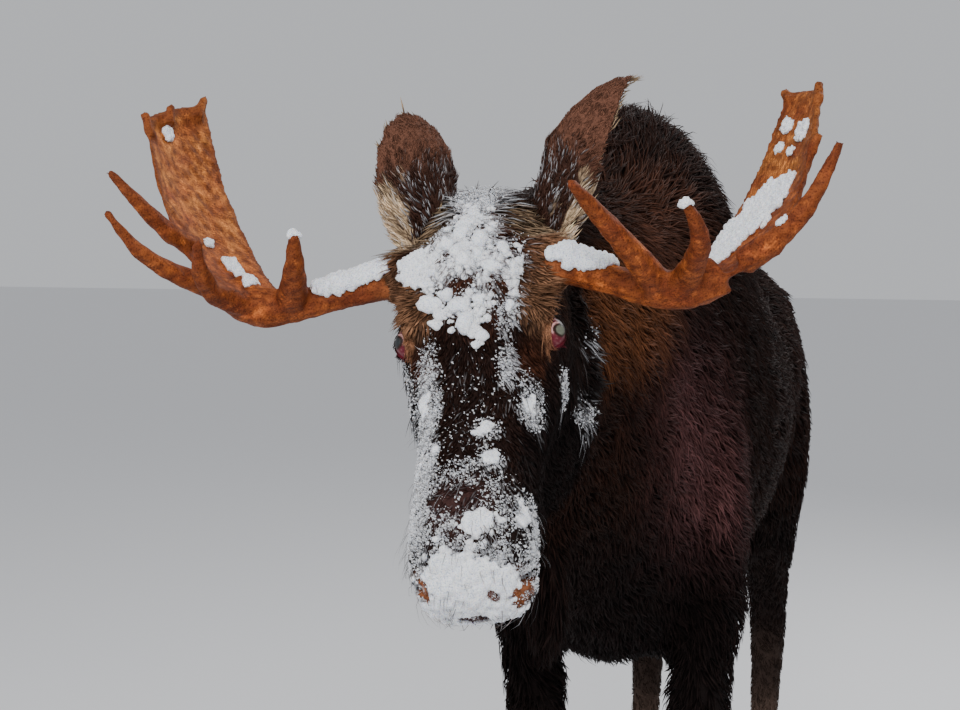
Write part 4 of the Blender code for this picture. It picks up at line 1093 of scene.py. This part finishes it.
class Locks(Spots):
    """Roots of many locks, with all that their shape needs."""

    def __init__(self, fields, chosen_triangles):
        triangles = fields.triangles[chosen_triangles]
        area = twice_area(fields.points, triangles) / 2
        spacing = fields.values[triangles, 3].mean(axis=1)
        cover = 1 - fields.bare[triangles].max(axis=1)
        expected = area / spacing ** 2 * cover * LOCK_SHARE
        count = np.floor(expected + RANDOM.random(len(expected))).astype(int)
        self.corners = np.repeat(triangles, count, axis=0)
        first, second = RANDOM.random((2, len(self.corners)))
        flip = first + second > 1
        first = np.where(flip, 1 - first, first)
        second = np.where(flip, 1 - second, second)
        self.shares = np.stack([1 - first - second, first, second], axis=1)
        self.roots = self.read(fields.points)
        self.normals = unit(self.read(fields.normals))
        self.flow = unit(laid(self.read(fields.flow), self.normals))
        values = self.read(fields.values)
        self.length, self.width, self.depth, _spacing, self.wave = values.T
        self.root_colour = self.read(fields.root)
        self.tip_colour = self.read(fields.tip)
        self.frost = self.read(fields.frost)

    def vary(self):
        """No two locks alike, and neighbours lean and shine together."""
        count = len(self.roots)
        swing = 0.34 * ripple(self.roots, 0.085, 3) + 0.22 * ripple(self.roots, 0.03, 4)
        swing = swing + RANDOM.normal(0, 0.14, count)
        aside = np.cross(self.normals, self.flow)
        self.flow = self.flow * np.cos(swing)[:, None] + aside * np.sin(swing)[:, None]
        self.length = self.length * RANDOM.uniform(0.7, 1.25, count)
        self.width = self.width * RANDOM.uniform(0.75, 1.25, count)
        thin = 1 - 0.42 * soft(self.depth, 0.014, 0.026)
        self.rise = self.depth * thin * np.clip(RANDOM.normal(0.72, 0.2, count), 0.25, 1.15)
        shade = 1 + 0.22 * ripple(self.roots, 0.045, 5) + RANDOM.normal(0, 0.22, count)
        shade = np.clip(shade, 0.3, 1.9)[:, None]
        self.root_colour = self.root_colour * shade
        self.tip_colour = self.tip_colour * shade
        self.snowy = np.clip((self.frost - RANDOM.random(count) * 0.75) * 2.5, 0, 1)

    def clumps(self):
        """Pull of each tip towards the middle of its own tuft."""
        count = len(self.roots)
        centres = RANDOM.choice(count, max(1, count // LOCKS_PER_TUFT), replace=False)
        tree = KDTree(len(centres))
        for index, centre in enumerate(centres):
            tree.insert(self.roots[centre], index)
        tree.balance()
        found = [tree.find(root)[1] for root in self.roots.tolist()]
        return laid(self.roots[centres[found]] - self.roots, self.normals)


def follow_skin(tree, fields, spots, flow):
    """Moves spots back onto the skin: places, normals, and the lie turned along the skin."""
    hits = [tree.find_nearest(spot) for spot in spots.tolist()]
    places = np.array([hit[0] for hit in hits])
    triangles = fields.triangles[[hit[2] for hit in hits]]
    normals = unit(fields.normals[triangles].sum(axis=1))
    return places, normals, unit(laid(flow, normals))


def lock_spines(locks, fields, tree, rings):
    """Points and normals along each lock, from its root to its tip."""
    stations = LOCK_STATIONS[rings]
    pull = locks.clumps()
    phase = RANDOM.uniform(0, 2 * math.pi, len(locks.roots))
    place, normal, flow = locks.roots, locks.normals, locks.flow
    spine = [place - normal * ROOT_DEPTH]
    normals = [normal]
    for before, share in zip(stations, stations[1:]):
        spot = place + flow * (locks.length * (share - before))[:, None]
        if rings == 3:
            place, normal, flow = follow_skin(tree, fields, spot, flow)
        else:
            place = spot
        height = locks.rise * (1 - (1 - share) ** 2.2)
        sway = np.sin(phase + 5.5 * share) * locks.wave * locks.width * 1.6 * share
        offset = normal * height[:, None] + np.cross(normal, flow) * sway[:, None]
        spine.append(place + offset + pull * (0.5 * share ** 1.4))
        normals.append(normal)
    return spine, normals


def lock_mesh(name, locks, fields, tree, rings, chart):
    """All locks as one mesh: three-sided, tapered, closed at the root and the tip."""
    spine, normals = lock_spines(locks, fields, tree, rings)
    stations = LOCK_STATIONS[rings]
    count = len(locks.roots)
    points, colours, patch, strand = [], [], [], []
    offset = RANDOM.uniform(0, 50, count)
    for ring in range(rings):
        ahead = unit(spine[ring + 1] - spine[max(ring - 1, 0)])
        aside = unit(np.cross(normals[ring], ahead))
        above = np.cross(ahead, aside)
        width = (locks.width * LOCK_WIDTHS[rings][ring])[:, None]
        share = stations[ring]
        colour = mix(locks.root_colour, locks.tip_colour, np.full(count, share ** 0.8))
        colour = mix(colour, FROST, locks.snowy * share * 0.9)
        for around, (across, up) in enumerate(LOCK_SECTION):
            points.append(spine[ring] + aside * width * across + above * width * up)
            colours.append(colour)
            patch.append(chart + TUFT_PATCH * np.array((across, share - 0.5)))
            strand.append(np.stack([offset + around / 3, np.full(count, share)], axis=1))
    points.append(spine[rings])
    colours.append(mix(locks.tip_colour, FROST, locks.snowy))
    patch.append(chart + TUFT_PATCH * np.array((0.0, 0.5)))
    strand.append(np.stack([offset + 0.5, np.ones(count)], axis=1))
    per_lock = 3 * rings + 1
    faces = [(0, 2, 1)]
    for ring in range(rings - 1):
        start = 3 * ring
        for around in range(3):
            one, two = start + around, start + (around + 1) % 3
            faces += [(one, two, two + 3), (one, two + 3, one + 3)]
    last = 3 * (rings - 1)
    faces += [(last + around, last + (around + 1) % 3, last + 3) for around in range(3)]
    faces = np.array(faces)
    starts = np.arange(count)[:, None, None] * per_lock
    triangles = (faces[None] + starts).reshape(-1, 3)
    mesh = mesh_from(name, interleaved(points), triangles)
    paint(mesh, interleaved(colours))
    add_uv(mesh, "OFBake", interleaved(patch), triangles)
    add_uv(mesh, "Strand", interleaved(strand), triangles)
    return mesh


def interleaved(columns):
    """Arrays of one vertex of every lock, turned into all the vertices of each lock in turn."""
    return np.stack(columns, axis=1).reshape(-1, columns[0].shape[1])


def add_uv(mesh, name, places, triangles):
    layer = mesh.uv_layers.new(name=name)
    layer.data.foreach_set("uv", flat(places[triangles.ravel()]))


def chart_of(points, axis):
    """Unwraps roots round the middle line of their part: angle round it, and place along it."""
    along = points @ axis
    low, high = along.min(), along.max()
    share = (along - low) / max(high - low, 1e-6)
    bins = np.minimum((share * CHART_BINS).astype(int), CHART_BINS - 1)
    centres = np.array([points[bins == b].mean(axis=0) if (bins == b).any() else points.mean(axis=0)
                        for b in range(CHART_BINS)])
    places = (np.arange(CHART_BINS) + 0.5) / CHART_BINS
    middle = np.stack([np.interp(share, places, centres[:, k]) for k in range(3)], axis=1)
    off = points - middle
    side = unit(np.cross(axis, (0.0, 0.31, 0.95)))
    over = np.cross(side, axis)
    angle = np.arctan2(off @ side, off @ over) / (2 * math.pi) + 0.5
    return np.stack([angle, share], axis=1)


def grow(name, fields, tree, chosen, rings, axis, hair):
    """Grows the coat on chosen triangles, in as many pieces as the size limit asks."""
    locks = Locks(fields, chosen)
    if not len(locks.roots):
        return
    locks.vary()
    chart = chart_of(locks.roots, np.array(axis, dtype=float))
    order = np.argsort(chart[:, 0], kind="stable")
    parts = math.ceil(len(order) / COAT_PIECE_LOCKS[rings])
    for number, rows in enumerate(np.array_split(order, parts)):
        part = Locks.__new__(Locks)
        for key, value in vars(locks).items():
            setattr(part, key, value[rows])
        spread = chart[rows].copy()
        low = spread.min(axis=0)
        spread = 0.01 + 0.98 * (spread - low) / np.maximum(spread.max(axis=0) - low, 1e-6)
        label = f"coat_{name}" if parts == 1 else f"coat_{name}_{number + 1}"
        mesh = lock_mesh(label, part, fields, tree, rings, spread)
        piece(label, mesh, hair)


def loose_hairs(fields):
    """Sparse single hairs that stand out from the coat and soften its outline, and whiskers."""
    loose = copy.copy(fields)
    long_coat = soft(fields.values[:, 0], 0.03, 0.06)
    muzzle = soft(fields.local[:, 0], 0.4, 0.5) * (fields.regions == REGIONS.index("head"))
    length = np.maximum(fields.values[:, 0] * 1.25, 0.024) + 0.01 * muzzle
    depth = fields.values[:, 2] * 1.25 + 0.004 + 0.012 * muzzle
    spacing = 0.028 - 0.006 * long_coat - 0.012 * muzzle
    width = 0.0011 + 0.0009 * long_coat - 0.0004 * muzzle
    loose.values = np.stack([length, width, depth, spacing, 0.4 + 0 * depth], axis=1)
    loose.frost = np.maximum(fields.frost, 0.5 * muzzle)
    return loose


UPRIGHT = (0, 0, 1)
LENGTHWAYS = (0, 1, 0)


def coat(fields, hair):
    """The body's coat, part by part; the head and lower legs carry the finest locks."""
    tree = fields.tree()
    middle = fields.points[fields.triangles].mean(axis=1)
    region = fields.regions[fields.triangles[:, 0]]
    length = fields.values[fields.triangles[:, 0], 0]

    def of_region(*names):
        return np.isin(region, [REGIONS.index(name) for name in names])

    parts = [
        ("head", of_region("head"), HEAD_TURN[:, 0]),
        ("neck", of_region("neck"), LENGTHWAYS),
        ("shoulders", of_region("trunk_shoulders"), LENGTHWAYS),
        ("barrel", of_region("trunk_barrel"), LENGTHWAYS),
        ("rump", of_region("trunk_rump"), LENGTHWAYS),
        ("bell", of_region("bell"), UPRIGHT),
        ("tail", of_region("tail"), UPRIGHT),
    ]
    centre = centre_of("trunk_barrel")
    for kind, is_fore in (("foreleg", True), ("hindleg", False)):
        for hand, side in (("left", 1), ("right", -1)):
            here = ((middle[:, 1] < centre[1]) == is_fore) & ((middle[:, 0] - centre[0]) * side > 0)
            leg = here & of_region("arm", "thigh", "forearm", "gaskin", "cannon", "foot")
            parts.append((f"{kind}_{hand}", leg, UPRIGHT))
    for name, chosen, axis in parts:
        grow(name, fields, tree, chosen & (length < LONG_LOCK), 2, axis, hair)
        grow(f"{name}_long", fields, tree, chosen & (length >= LONG_LOCK), 3, axis, hair)
    loose = loose_hairs(fields)
    grow("strays", loose, tree, of_region("neck", "bell", "trunk_shoulders"), 3, LENGTHWAYS, hair)
    grow("head_strays", loose, tree, of_region("head"), 3, HEAD_TURN[:, 0], hair)


# ---- antlers, eyes and hooves

# The melted antler is drawn in by what its closed gaps and smoothing add.
ANTLER_SLIM = 0.0016
STUB_RADIUS = 0.0235
POINT_RADIUS = 0.0072
PALM_RISE = np.array((-0.85, 0.37, 0.37))

# Blunt points along the palm's upper edge: start and end of each.
PALM_POINTS = {
    "right": [
        ((-0.078, 0.452, 0.112), (-0.096, 0.458, 0.123)),
        ((-0.112, 0.434, 0.084), (-0.14, 0.437, 0.092)),
        ((-0.172, 0.413, 0.044), (-0.202, 0.409, 0.044)),
    ],
    "left": [
        ((0.024, 0.45, 0.051), (0.008, 0.461, 0.064)),
        ((-0.086, 0.469, 0.044), (-0.108, 0.473, 0.046)),
        ((-0.136, 0.433, -0.005), (-0.156, 0.43, -0.009)),
    ],
}


def antler_piece(side_name, surface):
    """An antler with its forks melted together and a rough burr at its root."""
    nodes = sorted(node for node in NODES if node.startswith(f"antler_{side_name}"))
    root, inward = from_head(np.array(ANTLER_ROOTS[side_name]))
    extra = [rod("stub", root, inward, STUB_RADIUS)]
    across = np.array((1, 1 if side_name == "left" else -1, 1))
    for start, end in PALM_POINTS[side_name]:
        start, end = from_head(np.array((start, end)) * across)
        extra.append(rod("point", start, end, POINT_RADIUS))
    mesh = melted(f"antler_{side_name}", nodes, ANTLER_MELT, extra)
    points = points_of(mesh)
    normals = normals_of(mesh)
    near_root = soft(np.linalg.norm(points - root, axis=1), 0.06, 0.025)
    rough = ripple(points, 0.024, 21) * 0.0007 + ripple(points, 0.01, 22) * 0.0003
    pearls = np.abs(ripple(points, 0.008, 23)) * 0.0022
    set_points(mesh, points + normals * (rough + pearls * near_root - ANTLER_SLIM)[:, None])
    points = points_of(mesh)
    normals = normals_of(mesh)
    edge = np.linalg.norm(neighbour_mean(normals, edges_of(mesh)) - normals, axis=1)
    edge = soft(neighbour_mean(edge, edges_of(mesh)), 0.01, 0.035)
    share = np.clip(0.5 + 0.4 * ripple(points, 0.07, 24) + 0.3 * ripple(points, 0.014, 27), 0, 1)
    colours = mix(AMBER, RUST, share * 0.85)
    face = to_head(points)
    palm = soft(face[:, 0], 0.1, 0.0) * (0.5 + 0.5 * ripple(points, 0.05, 25))
    colours = mix(colours, STRAW, palm * 0.75)
    on_palm = soft(face[:, 0], 0.12, 0.02)
    lengthways = mix(np.array((0.0, 1.0, 0.0)), unit(PALM_RISE * across), on_palm)
    along = np.sum(face * lengthways, axis=1, keepdims=True)
    fibres = ripple(face - lengthways * along * 0.88, 0.0095, 26)
    colours = colours * (1 + 0.3 * fibres)[:, None]
    colours = mix(colours, RUST * 0.4, edge * 0.75)
    colours = mix(colours, GOLD * 1.2, near_root * 0.5)
    paint(mesh, colours)
    piece(f"antler_{side_name}", mesh, surface, nodes)
    return mesh


def rod(name, start, end, radius):
    """A plain round bar between two points, only ever melted into a piece."""
    shape = bmesh.new()
    axis = Vector(end - start)
    turn = axis.to_track_quat("Z", "Y").to_matrix().to_4x4()
    matrix = Matrix.Translation(Vector((start + end) / 2)) @ turn
    bmesh.ops.create_cone(shape, cap_ends=True, segments=20, radius1=radius, radius2=radius,
                          depth=axis.length, matrix=matrix)
    return mesh_of(shape, name)


def eye_piece(node, side, surface):
    """A ball with a bulging cornea, a dark iris, an oval pupil painted with a grey-green reflection,
    a painted pink highlight over its top, and a dark white.
    """
    centre, look, _slit, _over = eye_axes(side)
    gaze = unit(np.array((EYE_GAZE[0], side * EYE_GAZE[1], EYE_GAZE[2])))
    level = unit(SLIT_WAY - gaze * (SLIT_WAY @ gaze))
    shape = bmesh.new()
    bmesh.ops.create_icosphere(shape, subdivisions=5, radius=EYE_BALL - 0.0004)
    mesh = mesh_of(shape, node)
    points = points_of(mesh)
    cornea = soft(points @ look / EYE_BALL, 0.72, 0.98)
    forward = points @ gaze / EYE_BALL
    points = points * (1 + CORNEA_BULGE * cornea)[:, None]
    iris = soft(forward, 0.7, 0.74)
    reach = np.hypot(points @ level / PUPIL[0], points @ np.cross(level, gaze) / PUPIL[1])
    pupil = soft(reach, 1.08, 0.9) * (forward > 0)
    fleck = 0.5 + 0.5 * ripple(points, 0.004, 31)
    colours = mix(DARK_WHITE, mix(BLACK, BROWN, fleck * 0.5), iris)
    colours = mix(colours, BLACK, soft(np.abs(forward - 0.72), 0.035, 0.0))
    # The pupil is painted with its reflection.
    colours = mix(colours, PUPIL_SHINE[side] * (0.8 + 0.3 * fleck)[:, None], pupil)
    _inside, _forward, _offset, along, across = slit_distance(points + centre, side)
    haw = soft(reach, 1.32, 1.55) * soft(along, 0.0025, 0.0065)
    colours = mix(colours, mix(HAW_RED, PINK_FLESH_AND_HIGHLIGHT * 0.5, fleck ** 3 * 0.3), haw)
    # A pale pink arc over the top of the ball is a painted highlight; red lid lining lies beyond it.
    upper = soft(across, -0.002, 0.003) * soft(along, 0.0085, 0.005)
    rim = soft(np.abs(reach - 1.64), 0.18, 0.07) * upper
    colours = mix(colours, PINK_FLESH_AND_HIGHLIGHT, rim)
    colours = mix(colours, HAW_RED, soft(reach, 1.8, 1.95) * upper)
    set_points(mesh, from_head(points + centre))
    mesh.shade_smooth()
    paint(mesh, colours)
    piece(f"{node}_ball", mesh, surface, [node])


def hoof_piece(node, surface):
    """A claw or dewclaw, rounded at its edges, flat on the floor."""
    mesh = melted(node, [node], HOOF_MELT)
    points = points_of(mesh)
    low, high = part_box(node)
    rings = 0.0006 * np.sin((points[:, 2] - low.z) / 0.0065 + ripple(points, 0.05, 41))
    points = points + normals_of(mesh) * rings[:, None]
    if node.startswith("hoof"):
        points[:, 2] = np.where(points[:, 2] < low.z + 0.003, low.z, points[:, 2])
        points[:, 2] += 0.012 * soft(points[:, 2], high.z - 0.03, high.z)
    points[:, 2] = np.maximum(points[:, 2], 0.0)
    set_points(mesh, points)
    piece(f"{node}_horn", mesh, surface, [node])


# ---- snow

# How flat a shape is pressed on its surface, from 0 to 1, and how many are scattered.
FLATNESS = 0.3
CRUST_FLATNESS = 0.4
CLOD_COUNT = 900
CRUST_COUNT = 3800
GRAIN_COUNT = 28000


def ball_shape(subdivisions):
    """Corners and faces of a round ball one metre in radius."""
    ball = bmesh.new()
    bmesh.ops.create_icosphere(ball, subdivisions=subdivisions, radius=1.0)
    corners = np.array([vertex.co[:] for vertex in ball.verts])
    faces = np.array([[vertex.index for vertex in face.verts] for face in ball.faces])
    ball.free()
    return corners, faces


GRAIN_CORNERS = np.array(((1, 1, 1), (1, -1, -1), (-1, 1, -1), (-1, -1, 1)), dtype=float)
GRAIN_FACES = np.array(((0, 1, 2), (0, 3, 1), (0, 2, 3), (1, 3, 2)))


def scattered_shapes(name, corners, faces, places, normals, sizes, flatness):
    """One mesh of many copies of a shape, each pressed flat against its own surface."""
    out = normals[:, None, :]
    offsets = corners[None] * RANDOM.uniform(0.7, 1.4, (len(places), 1, 3))
    depth = np.sum(offsets * out, axis=2, keepdims=True)
    offsets = offsets - out * depth * flatness
    points = places[:, None, :] + offsets * sizes[:, None, None]
    starts = np.arange(len(places))[:, None, None] * len(corners)
    return mesh_from(name, points.reshape(-1, 3), (faces[None] + starts).reshape(-1, 3))


def melted_snow(name, blobs, surface):
    """Blobs of snow melted into one crust with a crumbly surface."""
    mesh = melted(name, [], SNOW_MELT, blobs)
    points = points_of(mesh)
    lumps = ripple(points, 0.014, 51) * 0.0012 + ripple(points, 0.006, 52) * 0.001
    set_points(mesh, points + normals_of(mesh) * lumps[:, None])
    piece(name, mesh, surface)


class Scatter(Spots):
    """Chance places on a skin, as many as the weight of its triangles asks."""

    def __init__(self, fields, weight, count):
        share = np.clip(weight[fields.triangles].mean(axis=1), 0, None)
        odds = twice_area(fields.points, fields.triangles) * share
        picked = RANDOM.choice(len(fields.triangles), count, p=odds / odds.sum())
        self.corners = fields.triangles[picked]
        self.shares = RANDOM.dirichlet((1, 1, 1), count)
        self.normals = unit(self.read(fields.normals))
        self.places = self.read(fields.points)
        self.depth = self.read(fields.values[:, 2])


def roughened(mesh, size, amount):
    points = points_of(mesh)
    set_points(mesh, points + normals_of(mesh) * (ripple(points, size, 60) * amount)[:, None])
    return mesh


def snow_lumps(fields):
    """Rounded clods as big as a walnut that lie on the hair of the forehead."""
    tree = fields.tree()
    corners, faces = ball_shape(3)
    places, normals = [], []
    for along, across, _radius in LUMPS:
        start = Vector(from_head(np.array([(along, across, 0.2)]))[0])
        place, normal, index, _distance = tree.ray_cast(start, -Vector(HEAD_TURN[:, 2]))
        depth = fields.values[fields.triangles[index], 2].mean()
        places.append(np.array(place + normal * depth * 0.9))
        normals.append(np.array(normal))
    sizes = np.array([radius for _along, _across, radius in LUMPS])
    lumps = (np.array(places), np.array(normals), sizes)
    shapes = scattered_shapes("snow_lumps", corners, faces, *lumps, flatness=0.34)
    return roughened(shapes, 0.013, 0.002)


def snow_clods(fields):
    """Crumbs of packed snow, crowded together on the forehead."""
    cracks = soft(np.abs(ripple(fields.points, 0.03, 67)), 0.1, 0.3)
    spots = Scatter(fields, np.clip(fields.clods - 0.15, 0, 1) * cracks, CLOD_COUNT)
    sizes = 0.0016 + 0.005 * RANDOM.random(len(spots.depth)) ** 2.0
    sunk = np.minimum(spots.depth, 0.012) * RANDOM.uniform(0.35, 1.0, len(sizes))
    places = spots.places + spots.normals * sunk[:, None]
    corners, faces = ball_shape(1)
    shapes = scattered_shapes("snow_clods", corners, faces, places, spots.normals, sizes, FLATNESS)
    return roughened(shapes, 0.006, 0.0012)


def snow_crust(fields):
    """A crust over the nose and one side of the forehead, broken by cracks."""
    fine = ripple(fields.points, 0.02, 61) + 0.7 * ripple(fields.points, 0.009, 62)
    cracks = soft(np.abs(ripple(fields.points, 0.034, 63)), 0.03, 0.14)
    thick = fields.crust * cracks
    ragged = 0.26 * fine * (thick > 0.05) * (thick < 0.95)
    spots = Scatter(fields, soft(thick + ragged, 0.42, 0.75), CRUST_COUNT)
    lift = spots.depth * 0.55 + 0.003 * np.clip(ripple(spots.places, 0.022, 64) + 0.2, 0, 1.2)
    places = spots.places + spots.normals * lift[:, None]
    sizes = RANDOM.uniform(0.0022, 0.005, len(places))
    corners, faces = ball_shape(1)
    return scattered_shapes("crust", corners, faces, places, spots.normals, sizes, CRUST_FLATNESS)


def snow_grains(fields):
    """A sprinkle of grains over all the face, in streaks, and few where the hair is long."""
    streaks = 1 + 0.9 * ripple(fields.points, 0.012, 65) + 0.6 * ripple(fields.points, 0.03, 66)
    short = 0.03 + 0.97 * soft(fields.values[:, 0], 0.049, 0.041)
    weight = np.clip(fields.frost - 0.06, 0, 1) ** 1.4 * np.clip(streaks, 0.05, 3) * short
    grains = Scatter(fields, weight, GRAIN_COUNT)
    lift = grains.depth * RANDOM.uniform(0.45, 1.15, len(grains.depth))
    sizes = 0.0004 + 0.001 * RANDOM.random(len(lift)) ** 2.8
    places = grains.places + grains.normals * lift[:, None]
    spread = (places, grains.normals, sizes)
    return scattered_shapes("snow_grains", GRAIN_CORNERS, GRAIN_FACES, *spread, flatness=0.0)


def face_snow(fields, surface):
    melted_snow("snow_face", [snow_crust(fields)], surface)
    for mesh in (snow_lumps(fields), snow_clods(fields), snow_grains(fields)):
        piece(mesh.name, mesh, surface)


class Surface:
    """The arrays of a finished mesh, for scattering on."""

    def __init__(self, mesh):
        self.points = points_of(mesh)
        self.normals = normals_of(mesh)
        self.triangles = triangles_of(mesh)
        self.values = np.zeros((len(self.points), 3))


def antler_snow(name, mesh, patches, surface):
    """Snow along an antler in patches: centre, radii, the way they face, and thickness."""
    antler = Surface(mesh)
    steady = antler.normals
    for _round in range(5):
        steady = unit(neighbour_mean(steady, edges_of(mesh)))
    local = to_head(antler.points)
    corners, faces = ball_shape(1)
    blobs = []
    for centre, radii, slope, thickness in patches:
        up = soft(steady @ unit(np.array(slope)), 0.3, 0.62)
        weight = near(local, centre, radii) * up
        ragged = 0.16 * ripple(antler.points, 0.018, 71) * (weight > 0)
        weight = soft(weight + ragged, 0.22, 0.5)
        count = int(60 + 60000 * radii[0] * radii[1])
        spots = Scatter(antler, weight, count)
        sizes = thickness * RANDOM.uniform(0.65, 1.3, count)
        places = spots.places + spots.normals * (sizes * 0.35)[:, None]
        heap = (places, spots.normals, sizes, FLATNESS)
        blobs.append(scattered_shapes("blobs", corners, faces, *heap))
    melted_snow(name, blobs, surface)


SKYWARD = (0.0, 0.0, 1.0)
LEFT_PALM_FACE = (-0.35, -0.85, 0.45)
RIGHT_PALM_FACE = (0.35, -0.85, 0.45)
LEFT_SNOW = [
    ((0.146, 0.14, 0.012), (0.03, 0.06, 0.04), SKYWARD, 0.0085),
    ((0.213, 0.284, 0.176), (0.012, 0.013, 0.024), (-0.2, -0.5, 0.8), 0.0026),
    ((0.11, 0.322, -0.04), (0.044, 0.034, 0.044), LEFT_PALM_FACE, 0.0045),
    ((0.068, 0.354, -0.036), (0.052, 0.046, 0.06), LEFT_PALM_FACE, 0.005),
    ((0.042, 0.388, -0.014), (0.056, 0.048, 0.066), LEFT_PALM_FACE, 0.005),
    ((0.028, 0.414, -0.002), (0.022, 0.026, 0.034), LEFT_PALM_FACE, 0.0045),
    ((-0.046, 0.448, 0.018), (0.022, 0.014, 0.022), LEFT_PALM_FACE, 0.0045),
    ((-0.082, 0.428, -0.008), (0.013, 0.01, 0.016), LEFT_PALM_FACE, 0.004),
    ((-0.054, 0.414, -0.02), (0.008, 0.008, 0.01), LEFT_PALM_FACE, 0.0032),
    ((-0.03, 0.43, -0.003), (0.007, 0.007, 0.009), LEFT_PALM_FACE, 0.003),
    ((0.16, 0.405, 0.068), (0.008, 0.008, 0.01), SKYWARD, 0.0032),
]
RIGHT_SNOW = [
    ((0.114, -0.176, -0.024), (0.03, 0.076, 0.04), SKYWARD, 0.01),
    ((0.139, -0.221, 0.104), (0.011, 0.011, 0.016), SKYWARD, 0.0028),
    ((0.064, -0.353, -0.028), (0.016, 0.014, 0.02), RIGHT_PALM_FACE, 0.0038),
    ((0.08, -0.34, -0.034), (0.012, 0.012, 0.016), RIGHT_PALM_FACE, 0.0034),
    ((0.11, -0.322, -0.024), (0.02, 0.014, 0.02), SKYWARD, 0.004),
    ((0.043, -0.381, -0.002), (0.008, 0.008, 0.01), RIGHT_PALM_FACE, 0.003),
    ((-0.105, -0.437, 0.075), (0.013, 0.012, 0.014), RIGHT_PALM_FACE, 0.0046),
]


# ---- stage

def add_stage():
    """A plain pale floor with soft studio lights, and the camera."""
    shape = bmesh.new()
    bmesh.ops.create_grid(shape, x_segments=1, y_segments=1, size=FLOOR_SIZE)
    floor = placed("floor", mesh_of(shape, "floor"))
    made, _tree, shader = material("pale_floor", 0.9, 0.2)
    shader.inputs["Base Color"].default_value = (0.8, 0.8, 0.81, 1.0)
    floor.data.materials.append(made)
    world = bpy.data.worlds.new("studio")
    bpy.context.scene.world = world
    world.use_nodes = True
    background = world.node_tree.nodes["Background"]
    background.inputs["Color"].default_value = (0.9, 0.92, 0.96, 1.0)
    background.inputs["Strength"].default_value = 0.62
    eyes = Vector(from_head(np.array([EYES_MIDDLE]))[0])
    for name, offset, size, power in (
        ("key", (0.9, -3.2, 1.7), 1.4, 150.0),
        ("fill", (-3.2, -1.5, 1.2), 2.5, 60.0),
        ("back", (2.0, 4.5, 3.0), 3.0, 160.0),
    ):
        light = bpy.data.lights.new(name, "AREA")
        light.size = size
        light.energy = power
        lamp = placed(name, light)
        lamp.location = eyes + Vector(offset)
        lamp.rotation_euler = (-Vector(offset)).to_track_quat("-Z", "Y").to_euler()
    forward = Vector((
        -math.sin(CAMERA_AZIMUTH) * math.cos(CAMERA_PITCH),
        math.cos(CAMERA_AZIMUTH) * math.cos(CAMERA_PITCH),
        -math.sin(CAMERA_PITCH),
    ))
    lens = bpy.data.cameras.new("camera")
    lens.lens = LENS_MM
    camera = placed("camera", lens)
    camera.location = eyes - forward * CAMERA_DISTANCE - Vector((0, 0, CAMERA_DROP))
    camera.rotation_euler = forward.to_track_quat("-Z", "Y").to_euler()
    bpy.context.scene.camera = camera


# ---- the model

def joined_skin(parts, surface):
    """The body's skin and the ears as one mesh."""
    points, triangles, colours = [], [], []
    start = 0
    for mesh, fields in parts:
        points.append(points_of(mesh))
        triangles.append(triangles_of(mesh) + start)
        colours.append(mix(fields.root, fields.tip, np.full(len(fields.points), 0.45)))
        start += len(fields.points)
    mesh = mesh_from("skin", np.concatenate(points), np.concatenate(triangles))
    paint(mesh, np.concatenate(colours))
    piece("skin", mesh, surface, FLESH)


def build():
    hair = hair_material()
    snow = snow_material()
    skins = [body_skin()]
    body_fields = skins[0][1]
    coat(body_fields, hair)
    for node in EARS:
        skins.append(ear_skin(node))
        fields = skins[-1][1]
        root, tip = ear_frame(node)
        everywhere = np.ones(len(fields.triangles), dtype=bool)
        grow(node, fields, fields.tree(), everywhere, 2, unit(tip - root), hair)
    joined_skin(skins, skin_material())
    antler = antler_material()
    for name, patches in (("left", LEFT_SNOW), ("right", RIGHT_SNOW)):
        mesh = antler_piece(name, antler)
        antler_snow(f"snow_antler_{name}", mesh, patches, snow)
    face_snow(body_fields, snow)
    eye = eye_material()
    eye_piece("eye_left", 1, eye)
    eye_piece("eye_right", -1, eye)
    horn = horn_material()
    for node in sorted(NODES):
        if node.startswith(("hoof", "dewclaw")):
            hoof_piece(node, horn)
    add_stage()


build()
